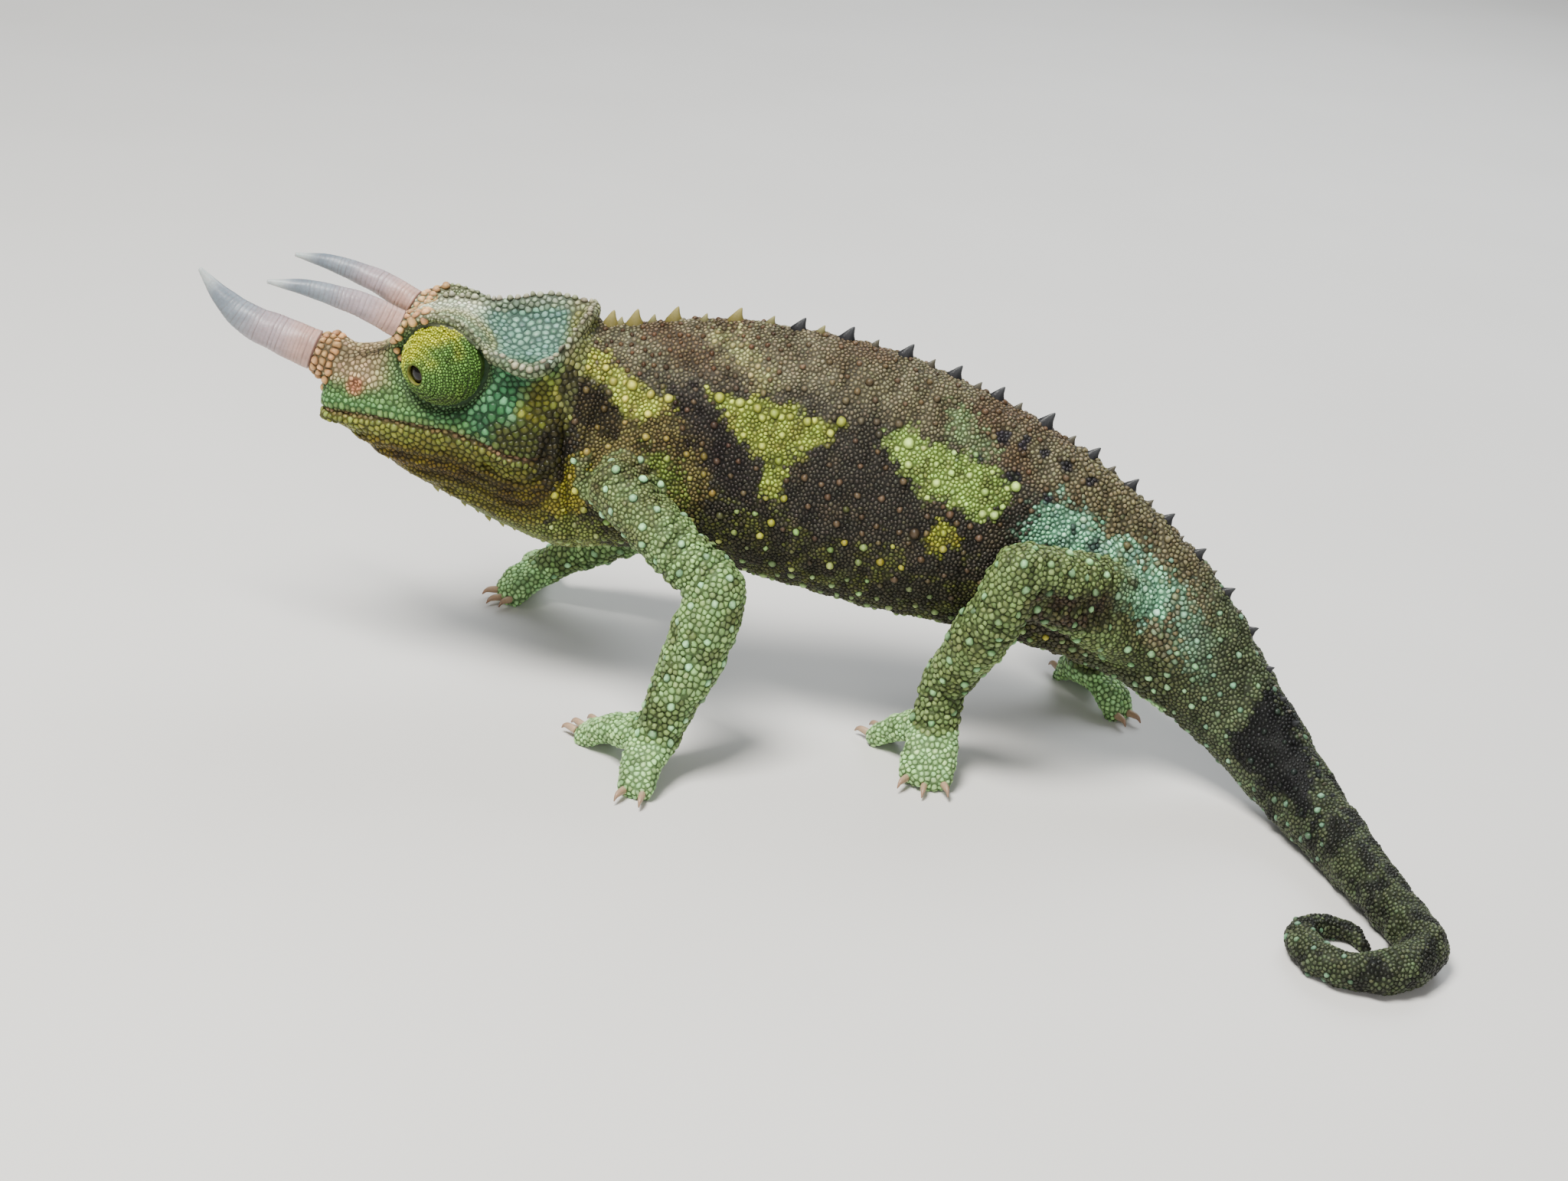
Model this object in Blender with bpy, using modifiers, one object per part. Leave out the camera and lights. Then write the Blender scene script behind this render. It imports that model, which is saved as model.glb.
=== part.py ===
"""A Jackson's chameleon, a small adult male, standing with its head low and its tail laid on the floor.

Sizes are millimetres up to the last step, which moves the footprint's centre to the origin and sets the meshes to
metres. +Z is up, the floor is z = 0, the head faces -X, and the animal's left side faces -Y and is called the near
side. The flesh is modelled whole, as lofts and tubes merged into one skin, and is then parted by thin cuts.
"""

import math
import random

import bmesh
import bpy
import numpy as np
from mathutils import Matrix, Vector
from mathutils.bvhtree import BVHTree

for old in list(bpy.data.objects):
    bpy.data.objects.remove(old)
workshop = bpy.data.collections.new("workshop")
chameleon = bpy.data.collections.new("jacksons_chameleon")
bpy.context.scene.collection.children.link(workshop)
bpy.context.scene.collection.children.link(chameleon)

# Driving dimensions, in millimetres and degrees
METRES_PER_MM = 0.001
FOOTPRINT_CENTRE = (1.543, -8.683, 0.0)
GAP = 0.3
LEAN = math.radians(5.0)
MIDDLE_Y = -3.5
SKIN_VOXEL = 0.5
SKIN_TRIANGLES = 6000
FLOOR_SINK = 0.15

EYE_RADIUS = 4.1
EYE_SOCKET = (-35.2, 5.1, 34.4)
PUPIL_TURN = (-2.6, 3.5, -0.8)
EYEBALL_RADIUS = 1.25
EYEBALL_DEPTH = 1.55
LID_OPENING = 1.05
NOSTRIL = (-44.0, 4.0, 30.7)

ROSTRAL_HORN = ((-48.7, 0.0, 32.7), (-52.0, 0.0, 33.7), (-55.3, 0.0, 34.9), (-57.8, 0.0, 36.6), (-60.4, 0.0, 39.4))
ROSTRAL_RADII = (2.1, 1.95, 1.65, 1.15, 0.22)
BROW_HORN = ((-39.9, 4.2, 37.5), (-43.2, 4.7, 38.9), (-46.4, 5.2, 39.8), (-49.3, 5.6, 40.3), (-52.4, 6.0, 40.5))
BROW_RADII = (1.45, 1.3, 1.05, 0.75, 0.2)
HORN_RINGS = 9
HORN_SIDES = 8
RING_DEPTH = 0.07
SEAT_DEPTH = 4.0

SPINE_SPACING = 4.3
SPINE_HEIGHT = 1.8
SPINE_LENGTH = 2.3
SPINE_WIDTH = 1.1
SPINE_ROOT = 0.8

# Trunk stations in the body's upright frame: x, y and z of the centre, half height, half width, tilt to the tail
TRUNK = (
    (-24.0, 0.0, 27.4, 11.0, 5.6, 4.0),
    (-18.7, 0.0, 27.8, 11.7, 6.2, 4.3),
    (-13.0, 0.0, 28.6, 12.0, 6.7, 4.0),
    (-7.3, 0.0, 28.7, 12.4, 7.1, 4.9),
    (-1.6, 0.0, 28.0, 12.9, 7.5, 5.3),
    (4.3, 0.0, 27.2, 13.0, 7.7, 6.8),
    (9.3, 0.0, 26.2, 12.9, 7.7, 7.8),
    (15.0, -0.2, 24.9, 12.1, 7.3, 11.3),
    (20.2, -0.5, 23.7, 11.3, 6.6, 15.0),
    (26.4, -1.0, 21.6, 10.2, 5.8, 17.9),
    (32.5, -1.7, 19.1, 8.9, 5.1, 18.9),
    (37.5, -2.7, 16.5, 7.7, 4.8, 22.0),
)

# Tail stations on the floor: x, y and z of the centre, half height, half width, tilt, lean, heading
TAIL = (
    (42.0, -6.4, 13.4, 6.7, 4.5, 24.0, 4.0, -20.0),
    (46.2, -8.2, 9.6, 5.5, 4.2, 24.0, 3.0, -30.0),
    (50.2, -11.4, 6.2, 4.6, 3.9, 20.0, 2.0, -48.0),
    (53.6, -16.4, 3.9, 3.8, 3.5, 10.0, 0.0, -60.0),
    (56.6, -23.2, 3.0, 3.1, 3.0, 3.0, 0.0, -66.0),
    (59.2, -30.0, 2.45, 2.6, 2.6, 0.0, 0.0, -68.0),
)
COIL_ARRIVAL = 7.0
COIL_TURNS = 1.1
COIL_RADIUS = 7.2
COIL_SHRINK = 0.75
TAIL_TIP_RADIUS = 0.75

# Head stations in the upright frame: x, throat z, jaw half width, cheek z, cheek half width, temple half width,
# crest z, crest half width, roof z
HEAD = (
    (-47.6, 27.2, 0.9, 28.8, 1.6, 1.5, 30.4, 1.1, 31.2),
    (-46.8, 26.3, 1.6, 28.6, 2.7, 2.6, 31.8, 2.0, 33.2),
    (-45.2, 25.2, 2.4, 28.5, 3.6, 3.4, 32.8, 2.7, 34.1),
    (-43.0, 23.9, 3.0, 28.4, 4.5, 4.0, 33.5, 3.3, 34.4),
    (-41.2, 22.8, 3.4, 28.4, 5.1, 4.2, 34.8, 3.9, 35.0),
    (-39.2, 21.6, 3.7, 28.4, 5.6, 4.4, 37.4, 4.7, 38.1),
    (-36.0, 20.0, 4.0, 28.4, 6.2, 4.6, 38.6, 5.4, 39.5),
    (-33.0, 18.6, 4.2, 28.3, 6.6, 5.0, 38.2, 5.9, 39.9),
    (-30.0, 17.3, 4.4, 28.0, 6.9, 5.7, 36.7, 6.4, 39.7),
    (-27.0, 16.2, 4.6, 27.2, 7.1, 6.1, 35.7, 6.9, 40.3),
    (-24.8, 15.6, 4.8, 26.9, 7.0, 6.1, 36.2, 6.5, 40.7),
    (-22.8, 15.3, 4.9, 26.9, 6.6, 5.8, 37.6, 4.8, 40.4),
    (-20.8, 15.4, 5.0, 27.2, 6.2, 5.4, 37.6, 3.4, 39.3),
    (-18.0, 16.2, 5.0, 27.6, 6.0, 5.2, 36.4, 3.0, 38.6),
)

# Rims and ridges of the head, on the +y side: points and radii of the tubes that are merged into it
LATERAL_CREST = (
    (-40.6, 4.1, 36.9, 0.8),
    (-37.1, 5.5, 38.5, 0.9),
    (-33.8, 6.1, 38.2, 0.8),
    (-30.7, 6.7, 36.3, 0.75),
    (-27.6, 7.1, 35.1, 0.8),
    (-25.6, 6.9, 35.5, 0.8),
    (-23.8, 5.2, 37.4, 0.7),
    (-22.1, 2.6, 39.7, 0.7),
    (-21.6, 0.0, 40.3, 0.8),
)
PARIETAL_CREST = ((-37.0, 0.0, 39.4, 0.6), (-30.5, 0.0, 39.7, 0.7), (-26.0, 0.0, 40.6, 0.8), (-21.6, 0.0, 40.3, 0.7))
MOUTH_LINE = (
    (-50.5, 27.4),
    (-46.6, 27.6),
    (-42.7, 27.9),
    (-38.4, 27.9),
    (-34.4, 27.9),
    (-31.0, 27.3),
    (-28.4, 26.3),
    (-26.0, 26.1),
    (-23.05, 26.9),
)
LIP_WIDTHS = (0.0, 2.9, 4.4, 5.4, 6.2, 6.7, 7.0, 6.9)
LIP_RADIUS = 0.65
SNOUT_X = -47.3

# Legs: the joints from hip or shoulder to palm with radii there, the cut at the root (a point, the direction
# across it and its radius) and each bundle's toes (the tip's x and y, count and spacing)
LEGS = {
    "fore_left": {
        "upper": (((-18.4, -7.4, 26.0), 3.2), ((-13.0, -11.8, 22.9), 3.0), ((-6.3, -15.4, 19.0), 2.9)),
        "lower": (((-6.3, -15.4, 19.0), 3.0), ((-7.5, -16.6, 13.5), 3.2), ((-9.7, -18.2, 7.2), 2.7)),
        "palm": ((-10.6, -18.9, 4.0), 2.4),
        "root_cut": ((-14.9, -10.3, 24.0), (0.6, -1.15, -0.3), 6.2),
        "bundles": (((-12.0, -24.6), 2, 1.9), ((-18.2, -12.2), 3, 1.45)),
    },
    "hind_left": {
        "upper": (((34.6, -6.6, 19.6), 3.0), ((28.0, -10.9, 22.6), 2.8), ((22.2, -13.8, 24.4), 2.7)),
        "flap": (((36.6, -6.0, 14.4), 3.0), ((30.6, -9.4, 17.4), 2.7), ((25.8, -12.2, 20.8), 2.2)),
        "lower": (((22.2, -13.8, 24.4), 2.7), ((20.0, -12.7, 17.0), 3.0), ((16.9, -9.6, 9.2), 2.4)),
        "palm": ((16.5, -10.8, 4.7), 2.5),
        "root_cut": ((29.3, -9.65, 19.3), (-0.2, -1.0, 0.09), 7.6),
        "bundles": (((16.0, -15.9), 3, 1.85), ((10.8, -5.8), 2, 1.8)),
    },
    "fore_right": {
        "upper": (((-17.6, 3.6, 25.0), 3.1), ((-14.8, 9.8, 18.4), 2.9), ((-13.2, 14.8, 12.6), 2.6)),
        "lower": (((-13.2, 14.8, 12.6), 2.7), ((-18.6, 16.2, 8.9), 2.6), ((-24.4, 17.4, 5.2), 2.1)),
        "palm": ((-26.4, 18.0, 3.4), 2.1),
        "root_cut": ((-16.4, 6.6, 21.8), (0.1, 1.0, -0.5), 5.6),
        "bundles": (((-30.6, 14.6), 3, 1.3), ((-28.2, 24.2), 2, 1.7)),
    },
    "hind_right": {
        "upper": (((35.2, 1.4, 18.8), 3.1), ((29.6, 7.4, 19.4), 2.9), ((24.2, 12.4, 18.4), 2.5)),
        "flap": (((37.0, 0.6, 14.8), 2.7), ((32.2, 5.6, 16.2), 2.4), ((28.2, 9.2, 17.2), 2.1)),
        "lower": (((24.2, 12.4, 18.4), 2.5), ((27.6, 11.6, 11.8), 2.6), ((32.4, 9.6, 6.0), 2.2)),
        "palm": ((33.8, 8.8, 3.3), 2.1),
        "root_cut": ((31.8, 5.3, 17.6), (-0.5, 1.3, -0.05), 5.9),
        "bundles": (((37.2, 4.4), 2, 1.6), ((32.2, 14.4), 3, 1.7)),
    },
}
TOE_RADII = (1.75, 1.45, 1.2, 1.0)
TOE_TIP_HEIGHT = 0.45
CLAW_LENGTH = 1.5

# Cuts before and behind the neck (a point, the direction across the cut and the radius), at distances along the
# tail, and at the knees and elbows (a plate's width and its reach outside and inside the bend) and wrists
NECK_CUTS = (
    ((-22.95, 0.0, 27.5), (-1.0, 0.0, 0.155), 20.0),
    ((-18.6, 0.0, 27.8), (-1.0, 0.0, 0.29), 20.0),
)
TAIL_CUTS = (5.0, 24.0, 41.0, 57.0)
KNEE_CUT_WIDTH = 8.6
KNEE_CUT_REACH = (5.0, 9.2)
ELBOW_CUT_REACH = (4.2, 5.2)
WRIST_CUT_RADIUS = 3.6

COLOURS = {
    "head": (0.20, 0.30, 0.16),
    "lower_jaw": (0.42, 0.32, 0.08),
    "neck": (0.28, 0.26, 0.10),
    "torso": (0.10, 0.09, 0.06),
    "tail": (0.10, 0.12, 0.07),
    "leg": (0.24, 0.34, 0.14),
    "lid": (0.36, 0.42, 0.08),
    "eye": (0.01, 0.01, 0.01),
    "horn": (0.58, 0.50, 0.50),
}

rng = random.Random(11)


def lean(point):
    """A point of the body's upright frame, set on the floor with the back leaning to the far side."""
    x, y, z = point
    return Vector((x, MIDDLE_Y + y * math.cos(LEAN) + z * math.sin(LEAN), z * math.cos(LEAN) - y * math.sin(LEAN)))


def lean_direction(direction):
    return lean(direction) - lean((0, 0, 0))


def smooth_rows(keys, steps):
    """Rows on a smooth curve that passes through every key."""
    keys = [np.array(key, float) for key in keys]
    rows = []
    for i in range(len(keys) - 1):
        before, start, end, after = (keys[min(max(k, 0), len(keys) - 1)] for k in range(i - 1, i + 3))
        for j in range(steps):
            t = j / steps
            bend = (2 * before - 5 * start + 4 * end - after) * t**2
            twist = (3 * start - before - 3 * end + after) * t**3
            rows.append(0.5 * (2 * start + (end - before) * t + bend + twist))
    rows.append(keys[-1])
    return rows


def new_object(name, mesh):
    piece = bpy.data.objects.new(name, mesh)
    workshop.objects.link(piece)
    return piece


def object_from(name, builder):
    """A mesh object from a bmesh, with its faces pointing out."""
    bmesh.ops.recalc_face_normals(builder, faces=builder.faces)
    mesh = bpy.data.meshes.new(name)
    builder.to_mesh(mesh)
    builder.free()
    return new_object(name, mesh)


def loft(name, rings):
    """A closed skin through rings with the same number of points, its two ends filled."""
    builder = bmesh.new()
    loops = [[builder.verts.new(point) for point in ring] for ring in rings]
    count = len(loops[0])
    for low, high in zip(loops, loops[1:]):
        for k in range(count):
            builder.faces.new((low[k], low[(k + 1) % count], high[(k + 1) % count], high[k]))
    builder.faces.new(loops[0])
    builder.faces.new(loops[-1])
    return object_from(name, builder)


def tube(name, rows, steps=4, sides_resolution=3):
    """A round tube along points, each with its radius: rows of x, y, z and radius."""
    rows = smooth_rows(rows, steps)
    curve = bpy.data.curves.new(name, "CURVE")
    curve.dimensions = "3D"
    curve.bevel_depth = 1.0
    curve.bevel_resolution = sides_resolution
    curve.use_fill_caps = True
    spline = curve.splines.new("POLY")
    spline.points.add(len(rows) - 1)
    for point, (x, y, z, radius) in zip(spline.points, rows):
        point.co = (x, y, z, 1)
        point.radius = radius
    guide = bpy.data.objects.new(name, curve)
    workshop.objects.link(guide)
    graph = bpy.context.evaluated_depsgraph_get()
    mesh = bpy.data.meshes.new_from_object(guide.evaluated_get(graph))
    bpy.data.objects.remove(guide)
    builder = bmesh.new()
    builder.from_mesh(mesh)
    bpy.data.meshes.remove(mesh)
    bmesh.ops.remove_doubles(builder, verts=builder.verts, dist=0.0001)
    return object_from(name, builder)


def ball(name, centre, radii, segments=20, rings=12):
    builder = bmesh.new()
    bmesh.ops.create_uvsphere(builder, u_segments=segments, v_segments=rings, radius=1.0)
    bmesh.ops.scale(builder, vec=radii, verts=builder.verts)
    bmesh.ops.translate(builder, vec=centre, verts=builder.verts)
    return object_from(name, builder)


def turned_to(direction):
    return Vector((0, 0, 1)).rotation_difference(Vector(direction)).to_matrix().to_4x4()


def drum(name, centre, direction, radius, depth, tip_radius=None, sides=24):
    """A cylinder, or a cone where a tip radius is given, centred on a point and set along a direction."""
    builder = bmesh.new()
    bmesh.ops.create_cone(
        builder,
        cap_ends=True,
        segments=sides,
        radius1=radius,
        radius2=radius if tip_radius is None else tip_radius,
        depth=depth,
        matrix=Matrix.Translation(centre) @ turned_to(direction),
    )
    return object_from(name, builder)


def merged(name, pieces):
    """One object that holds the meshes of several, which are removed."""
    builder = bmesh.new()
    for piece in pieces:
        builder.from_mesh(piece.data)
        bpy.data.objects.remove(piece)
    mesh = bpy.data.meshes.new(name)
    builder.to_mesh(mesh)
    builder.free()
    return new_object(name, mesh)


def apply_modifiers(piece):
    graph = bpy.context.evaluated_depsgraph_get()
    mesh = bpy.data.meshes.new_from_object(piece.evaluated_get(graph))
    piece.modifiers.clear()
    piece.data = mesh


def cut(piece, cutter):
    """Takes the cutter's volume out of the piece, and removes the cutter."""
    difference = piece.modifiers.new("cut", "BOOLEAN")
    difference.operation = "DIFFERENCE"
    difference.solver = "EXACT"
    difference.object = cutter
    apply_modifiers(piece)
    bpy.data.objects.remove(cutter)


def fuse(piece, additions):
    """Joins closed pieces to this one in one union, and keeps its largest closed surface."""
    together = bpy.data.collections.new("together")
    for addition in additions:
        together.objects.link(addition)
    union = piece.modifiers.new("fuse", "BOOLEAN")
    union.operation = "UNION"
    union.solver = "EXACT"
    union.operand_type = "COLLECTION"
    union.collection = together
    apply_modifiers(piece)
    for addition in additions:
        bpy.data.objects.remove(addition)
    bpy.data.collections.remove(together)
    keep_largest(piece)


def shells_of(mesh):
    """The mesh's separate closed surfaces, as lists of face indices."""
    builder = bmesh.new()
    builder.from_mesh(mesh)
    builder.faces.ensure_lookup_table()
    seen = set()
    shells = []
    for start in builder.faces:
        if start.index in seen:
            continue
        seen.add(start.index)
        shell, edge_of_search = [start.index], [start]
        while edge_of_search:
            for edge in edge_of_search.pop().edges:
                for face in edge.link_faces:
                    if face.index not in seen:
                        seen.add(face.index)
                        shell.append(face.index)
                        edge_of_search.append(face)
        shells.append(shell)
    builder.free()
    return sorted(shells, key=len, reverse=True)


def copy_of_shell(piece, name, shell):
    kept = set(shell)
    builder = bmesh.new()
    builder.from_mesh(piece.data)
    bmesh.ops.delete(builder, geom=[face for face in builder.faces if face.index not in kept], context="FACES")
    return object_from(name, builder)


def keep_largest(piece):
    shells = shells_of(piece.data)
    if len(shells) > 1:
        whole = copy_of_shell(piece, piece.name + "_whole", shells[0])
        piece.data = whole.data
        bpy.data.objects.remove(whole)


def tree_of(piece):
    builder = bmesh.new()
    builder.from_mesh(piece.data)
    bmesh.ops.triangulate(builder, faces=builder.faces)
    tree = BVHTree.FromBMesh(builder)
    builder.free()
    return tree


def contains(tree, point):
    """Whether a point is inside, by the faces that a line out of it crosses."""
    direction = Vector((0.31, 0.87, 0.38)).normalized()
    crossings = 0
    start = Vector(point)
    while True:
        hit = tree.ray_cast(start, direction)[0]
        if hit is None:
            return crossings % 2 == 1
        crossings += 1
        start = hit + direction * 0.001


def frame_at(heading, tilt, lean_angle):
    """Forward, far side and up of a section, from its heading in plan, its tilt to the tail and its lean."""
    heading, tilt, lean_angle = (math.radians(angle) for angle in (heading, tilt, lean_angle))
    forward = Vector((math.cos(heading), math.sin(heading), 0))
    side = Vector((-math.sin(heading), math.cos(heading), 0))
    up = Vector((0, 0, math.cos(tilt))) + forward * math.sin(tilt)
    leaned_up = up * math.cos(lean_angle) + side * math.sin(lean_angle)
    leaned_side = side * math.cos(lean_angle) - Vector((0, 0, 1)) * math.sin(lean_angle)
    return forward, leaned_side, leaned_up


def spine_rows():
    """Stations from the neck to the tail tip on the floor's frame: centre, half height, half width and angles."""
    rows = []
    for x, y, z, half_height, half_width, tilt in TRUNK:
        centre = lean((x, y, z))
        heading = -20.0 * max(0.0, (x - 20.0) / 22.0) ** 1.5
        rows.append((*centre, half_height, half_width, tilt, math.degrees(LEAN), heading))
    rows += TAIL
    x, y, z, half_height, half_width, _, _, heading = TAIL[-1]
    steps = round(COIL_TURNS * 12)
    position = Vector((x, y))
    for step in range(1, steps + 1):
        share = step / steps
        radius = COIL_RADIUS * (1 - COIL_SHRINK * share)
        turn = 360 * COIL_TURNS / steps
        stride = COIL_ARRIVAL if step == 1 else 2 * radius * math.sin(math.radians(turn / 2))
        heading_here = heading - turn * (step - 0.5)
        way = math.radians(heading_here if step > 1 else heading - 4)
        position += Vector((math.cos(way), math.sin(way))) * stride
        thick = half_height + (TAIL_TIP_RADIUS - half_height) * share**0.85
        rows.append((*position, thick - FLOOR_SINK, thick, thick, 0, 0, heading - turn * step))
    return rows


SPINE_ROWS = spine_rows()
FIRST_TAIL_ROW = len(TRUNK)


def section(row, keel, sides=20):
    """An egg-shaped ring, narrower at the back's ridge as keel grows from 0."""
    x, y, z, half_height, half_width, tilt, lean_angle, heading = row
    _, side, up = frame_at(heading, tilt, lean_angle)
    ring = []
    for k in range(sides):
        angle = 2 * math.pi * k / sides
        across = half_width * math.sin(angle) * (1 - keel * math.cos(angle))
        ring.append(Vector((x, y, z)) + up * half_height * math.cos(angle) + side * across)
    return ring


def body_flesh():
    rows = smooth_rows(SPINE_ROWS, 3)
    last = len(rows) - 1
    keels = [0.3 * max(0.0, 1 - 1.7 * i / last) for i in range(len(rows))]
    return loft("body", [section(row, keel) for row, keel in zip(rows, keels)])


def head_flesh():
    """The head as sections across it, from the snout to the nape."""
    rings = []
    for row in smooth_rows(HEAD, 3):
        x, throat, jaw, cheek_z, cheek, temple, crest_z, crest, roof = row
        temple_z = cheek_z + 0.62 * (crest_z - cheek_z)
        half = (
            (jaw, throat + 0.2 * (cheek_z - throat)),
            (0.5 * (jaw + cheek) + 0.4, throat + 0.6 * (cheek_z - throat)),
            (cheek, cheek_z),
            (temple, temple_z),
            (crest, crest_z),
            (0.5 * crest, crest_z + 0.4 * (roof - crest_z)),
        )
        ring = [(0.0, throat), *half, (0.0, roof), *((-y, z) for y, z in reversed(half))]
        rings.append([lean((x, y, z)) for y, z in ring])
    return loft("head", rings)


def mirrored_tube(name, rows):
    """A tube on the far side of the head and its twin on the near side."""
    twins = []
    for sign in (1, -1):
        leaned = [(*lean((x, sign * y, z)), radius) for x, y, z, radius in rows]
        twins.append(tube(name, leaned, 3, 2))
    return twins


def head_details():
    """Crests, lips and the bosses that carry the horns."""
    details = mirrored_tube("lateral_crest", LATERAL_CREST)
    details.append(tube("parietal_crest", [(*lean((x, y, z)), radius) for x, y, z, radius in PARIETAL_CREST], 3, 2))
    for offset in (0.75, -0.75):
        lip = []
        for (x, z), width in zip(MOUTH_LINE[:-1], LIP_WIDTHS):
            lip.append((max(x, SNOUT_X), max(width - 0.35, 0.0), z + offset, LIP_RADIUS))
        details += mirrored_tube("lip", lip)
    details.append(ball("rostral_boss", lean((-46.8, 0, 32.2)), (2.7, 2.6, 2.5)))
    for sign in (1, -1):
        details.append(ball("brow_boss", lean((-38.7, sign * 4.1, 37.0)), (2.1, 1.9, 1.9)))
    return details


def toe_paths(palm, tip, count, spacing):
    """Each toe of a bundle: from the palm, over a low arch, down to its own tip on the floor."""
    palm, tip = Vector(palm), Vector((*tip, TOE_TIP_HEIGHT))
    reach = (tip - palm).normalized()
    across = Vector((-reach.y, reach.x, 0)).normalized()
    for k in range(count):
        offset = across * spacing * (k - (count - 1) / 2)
        end = tip + offset - reach * (0.5 * abs(k - (count - 1) / 2))
        middle = palm.lerp(tip, 0.55) + offset * 0.8 + Vector((0, 0, 0.55))
        points = (palm + offset * 0.35, middle, palm.lerp(end, 0.85) - Vector((0, 0, 0.1)), end)
        yield tuple((*point, radius) for point, radius in zip(points, TOE_RADII))


def leg_flesh(leg):
    pieces = []
    for part in ("upper", "flap", "lower"):
        if part in leg:
            pieces.append(tube(part, [(*point, radius) for point, radius in leg[part]]))
    wrist, wrist_radius = leg["lower"][-1]
    palm, palm_radius = leg["palm"]
    pieces.append(tube("palm", [(*wrist, wrist_radius), (*palm, palm_radius), (*(Vector(palm) * 1.001), palm_radius)]))
    pieces.append(ball("sole", palm, (palm_radius, palm_radius, palm_radius * 0.9)))
    for tip, count, spacing in leg["bundles"]:
        pieces += [tube("toe", path, 3, 2) for path in toe_paths(palm, tip, count, spacing)]
    return pieces


def whole_skin():
    """All the flesh merged, remeshed as one skin, smoothed and brought down to a few thousand triangles."""
    pieces = [body_flesh(), head_flesh(), *head_details()]
    for leg in LEGS.values():
        pieces += leg_flesh(leg)
    skin = merged("skin", pieces)
    remesh = skin.modifiers.new("remesh", "REMESH")
    remesh.mode = "VOXEL"
    remesh.voxel_size = SKIN_VOXEL
    smooth = skin.modifiers.new("smooth", "SMOOTH")
    smooth.iterations = 3
    apply_modifiers(skin)
    keep_largest(skin)
    triangles = sum(len(face.vertices) - 2 for face in skin.data.polygons)
    fewer = skin.modifiers.new("fewer", "DECIMATE")
    fewer.ratio = SKIN_TRIANGLES / triangles
    apply_modifiers(skin)
    return skin


def mouth_cutter():
    """A thin sheet along the mouth line, right across the head."""
    half = GAP / 2
    outline = [(x, z + half) for x, z in MOUTH_LINE] + [(x, z - half) for x, z in reversed(MOUTH_LINE)]
    return loft("mouth", [[lean((x, y, z)) for x, z in outline] for y in (-12.0, 12.0)])


def disc(centre, direction, radius):
    return drum("slit", centre, direction, radius, GAP, sides=20)


def tail_cut(row):
    """A slit straight across the tail at a station of its smooth line."""
    x, y, z, half_height, half_width, _, _, heading = row
    forward = Vector((math.cos(math.radians(heading)), math.sin(math.radians(heading)), 0))
    return disc((x, y, z), forward, 1.4 * half_height)


def leg_cuts(name, leg):
    """Slits at the shoulder or hip, the elbow or knee, and the wrist or ankle."""
    yield disc(*leg["root_cut"])
    upper = [Vector(point) for point, _ in leg["upper"]]
    along = (upper[-1] - upper[0]).normalized()
    lower = [Vector(point) for point, _ in leg["lower"]]
    shin = (lower[-1] - lower[0]).normalized()
    bend = (along - shin).normalized()
    outside, inside = KNEE_CUT_REACH if "flap" in leg else ELBOW_CUT_REACH
    across = (along + shin).normalized()
    axes = Matrix((across, bend, across.cross(bend))).transposed().to_4x4()
    middle = lower[0] + bend * (outside - inside) / 2
    plate = bmesh.new()
    bmesh.ops.create_cube(plate, size=1.0)
    bmesh.ops.scale(plate, vec=(GAP, outside + inside, KNEE_CUT_WIDTH), verts=plate.verts)
    bmesh.ops.transform(plate, matrix=Matrix.Translation(middle) @ axes, verts=plate.verts)
    yield object_from("plate", plate)
    palm = Vector(leg["palm"][0])
    yield disc(lower[-1], (palm - lower[1]).normalized(), WRIST_CUT_RADIUS)


def horn(name, keys, radii):
    """A curved horn with shallow growth rings, its flat base at the first key."""
    rows = smooth_rows([(*key, radius) for key, radius in zip(keys, radii)], 6)
    centres = [lean(row[:3]) for row in rows]
    count = len(rows)
    rings = []
    for i in range(2 * HORN_RINGS + 1):
        along = i / (2 * HORN_RINGS) * (count - 1)
        low = min(int(along), count - 2)
        share = along - low
        centre = centres[low].lerp(centres[low + 1], share)
        radius = rows[low][3] + (rows[low + 1][3] - rows[low][3]) * share
        radius += RING_DEPTH * (1 if i % 2 else -1) * min(1.0, radius)
        forward = (centres[low + 1] - centres[low]).normalized()
        side = forward.cross(Vector((0, 0, 1))).normalized()
        up = side.cross(forward)
        ring = []
        for k in range(HORN_SIDES):
            angle = 2 * math.pi * k / HORN_SIDES
            ring.append(centre + side * radius * math.cos(angle) + up * radius * math.sin(angle))
        rings.append(ring)
    return loft(name, rings)


def horn_seat(keys, radius):
    """What is taken off the boss, so that it ends in a flat face just under the horn's base."""
    base, onward = lean(keys[0]), lean(keys[1])
    direction = (onward - base).normalized()
    return drum("seat", base + direction * (SEAT_DEPTH / 2 - GAP), direction, radius * 1.8, SEAT_DEPTH)


def near_side(point, sign):
    x, y, z = point
    return (x, y * sign, z)


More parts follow.
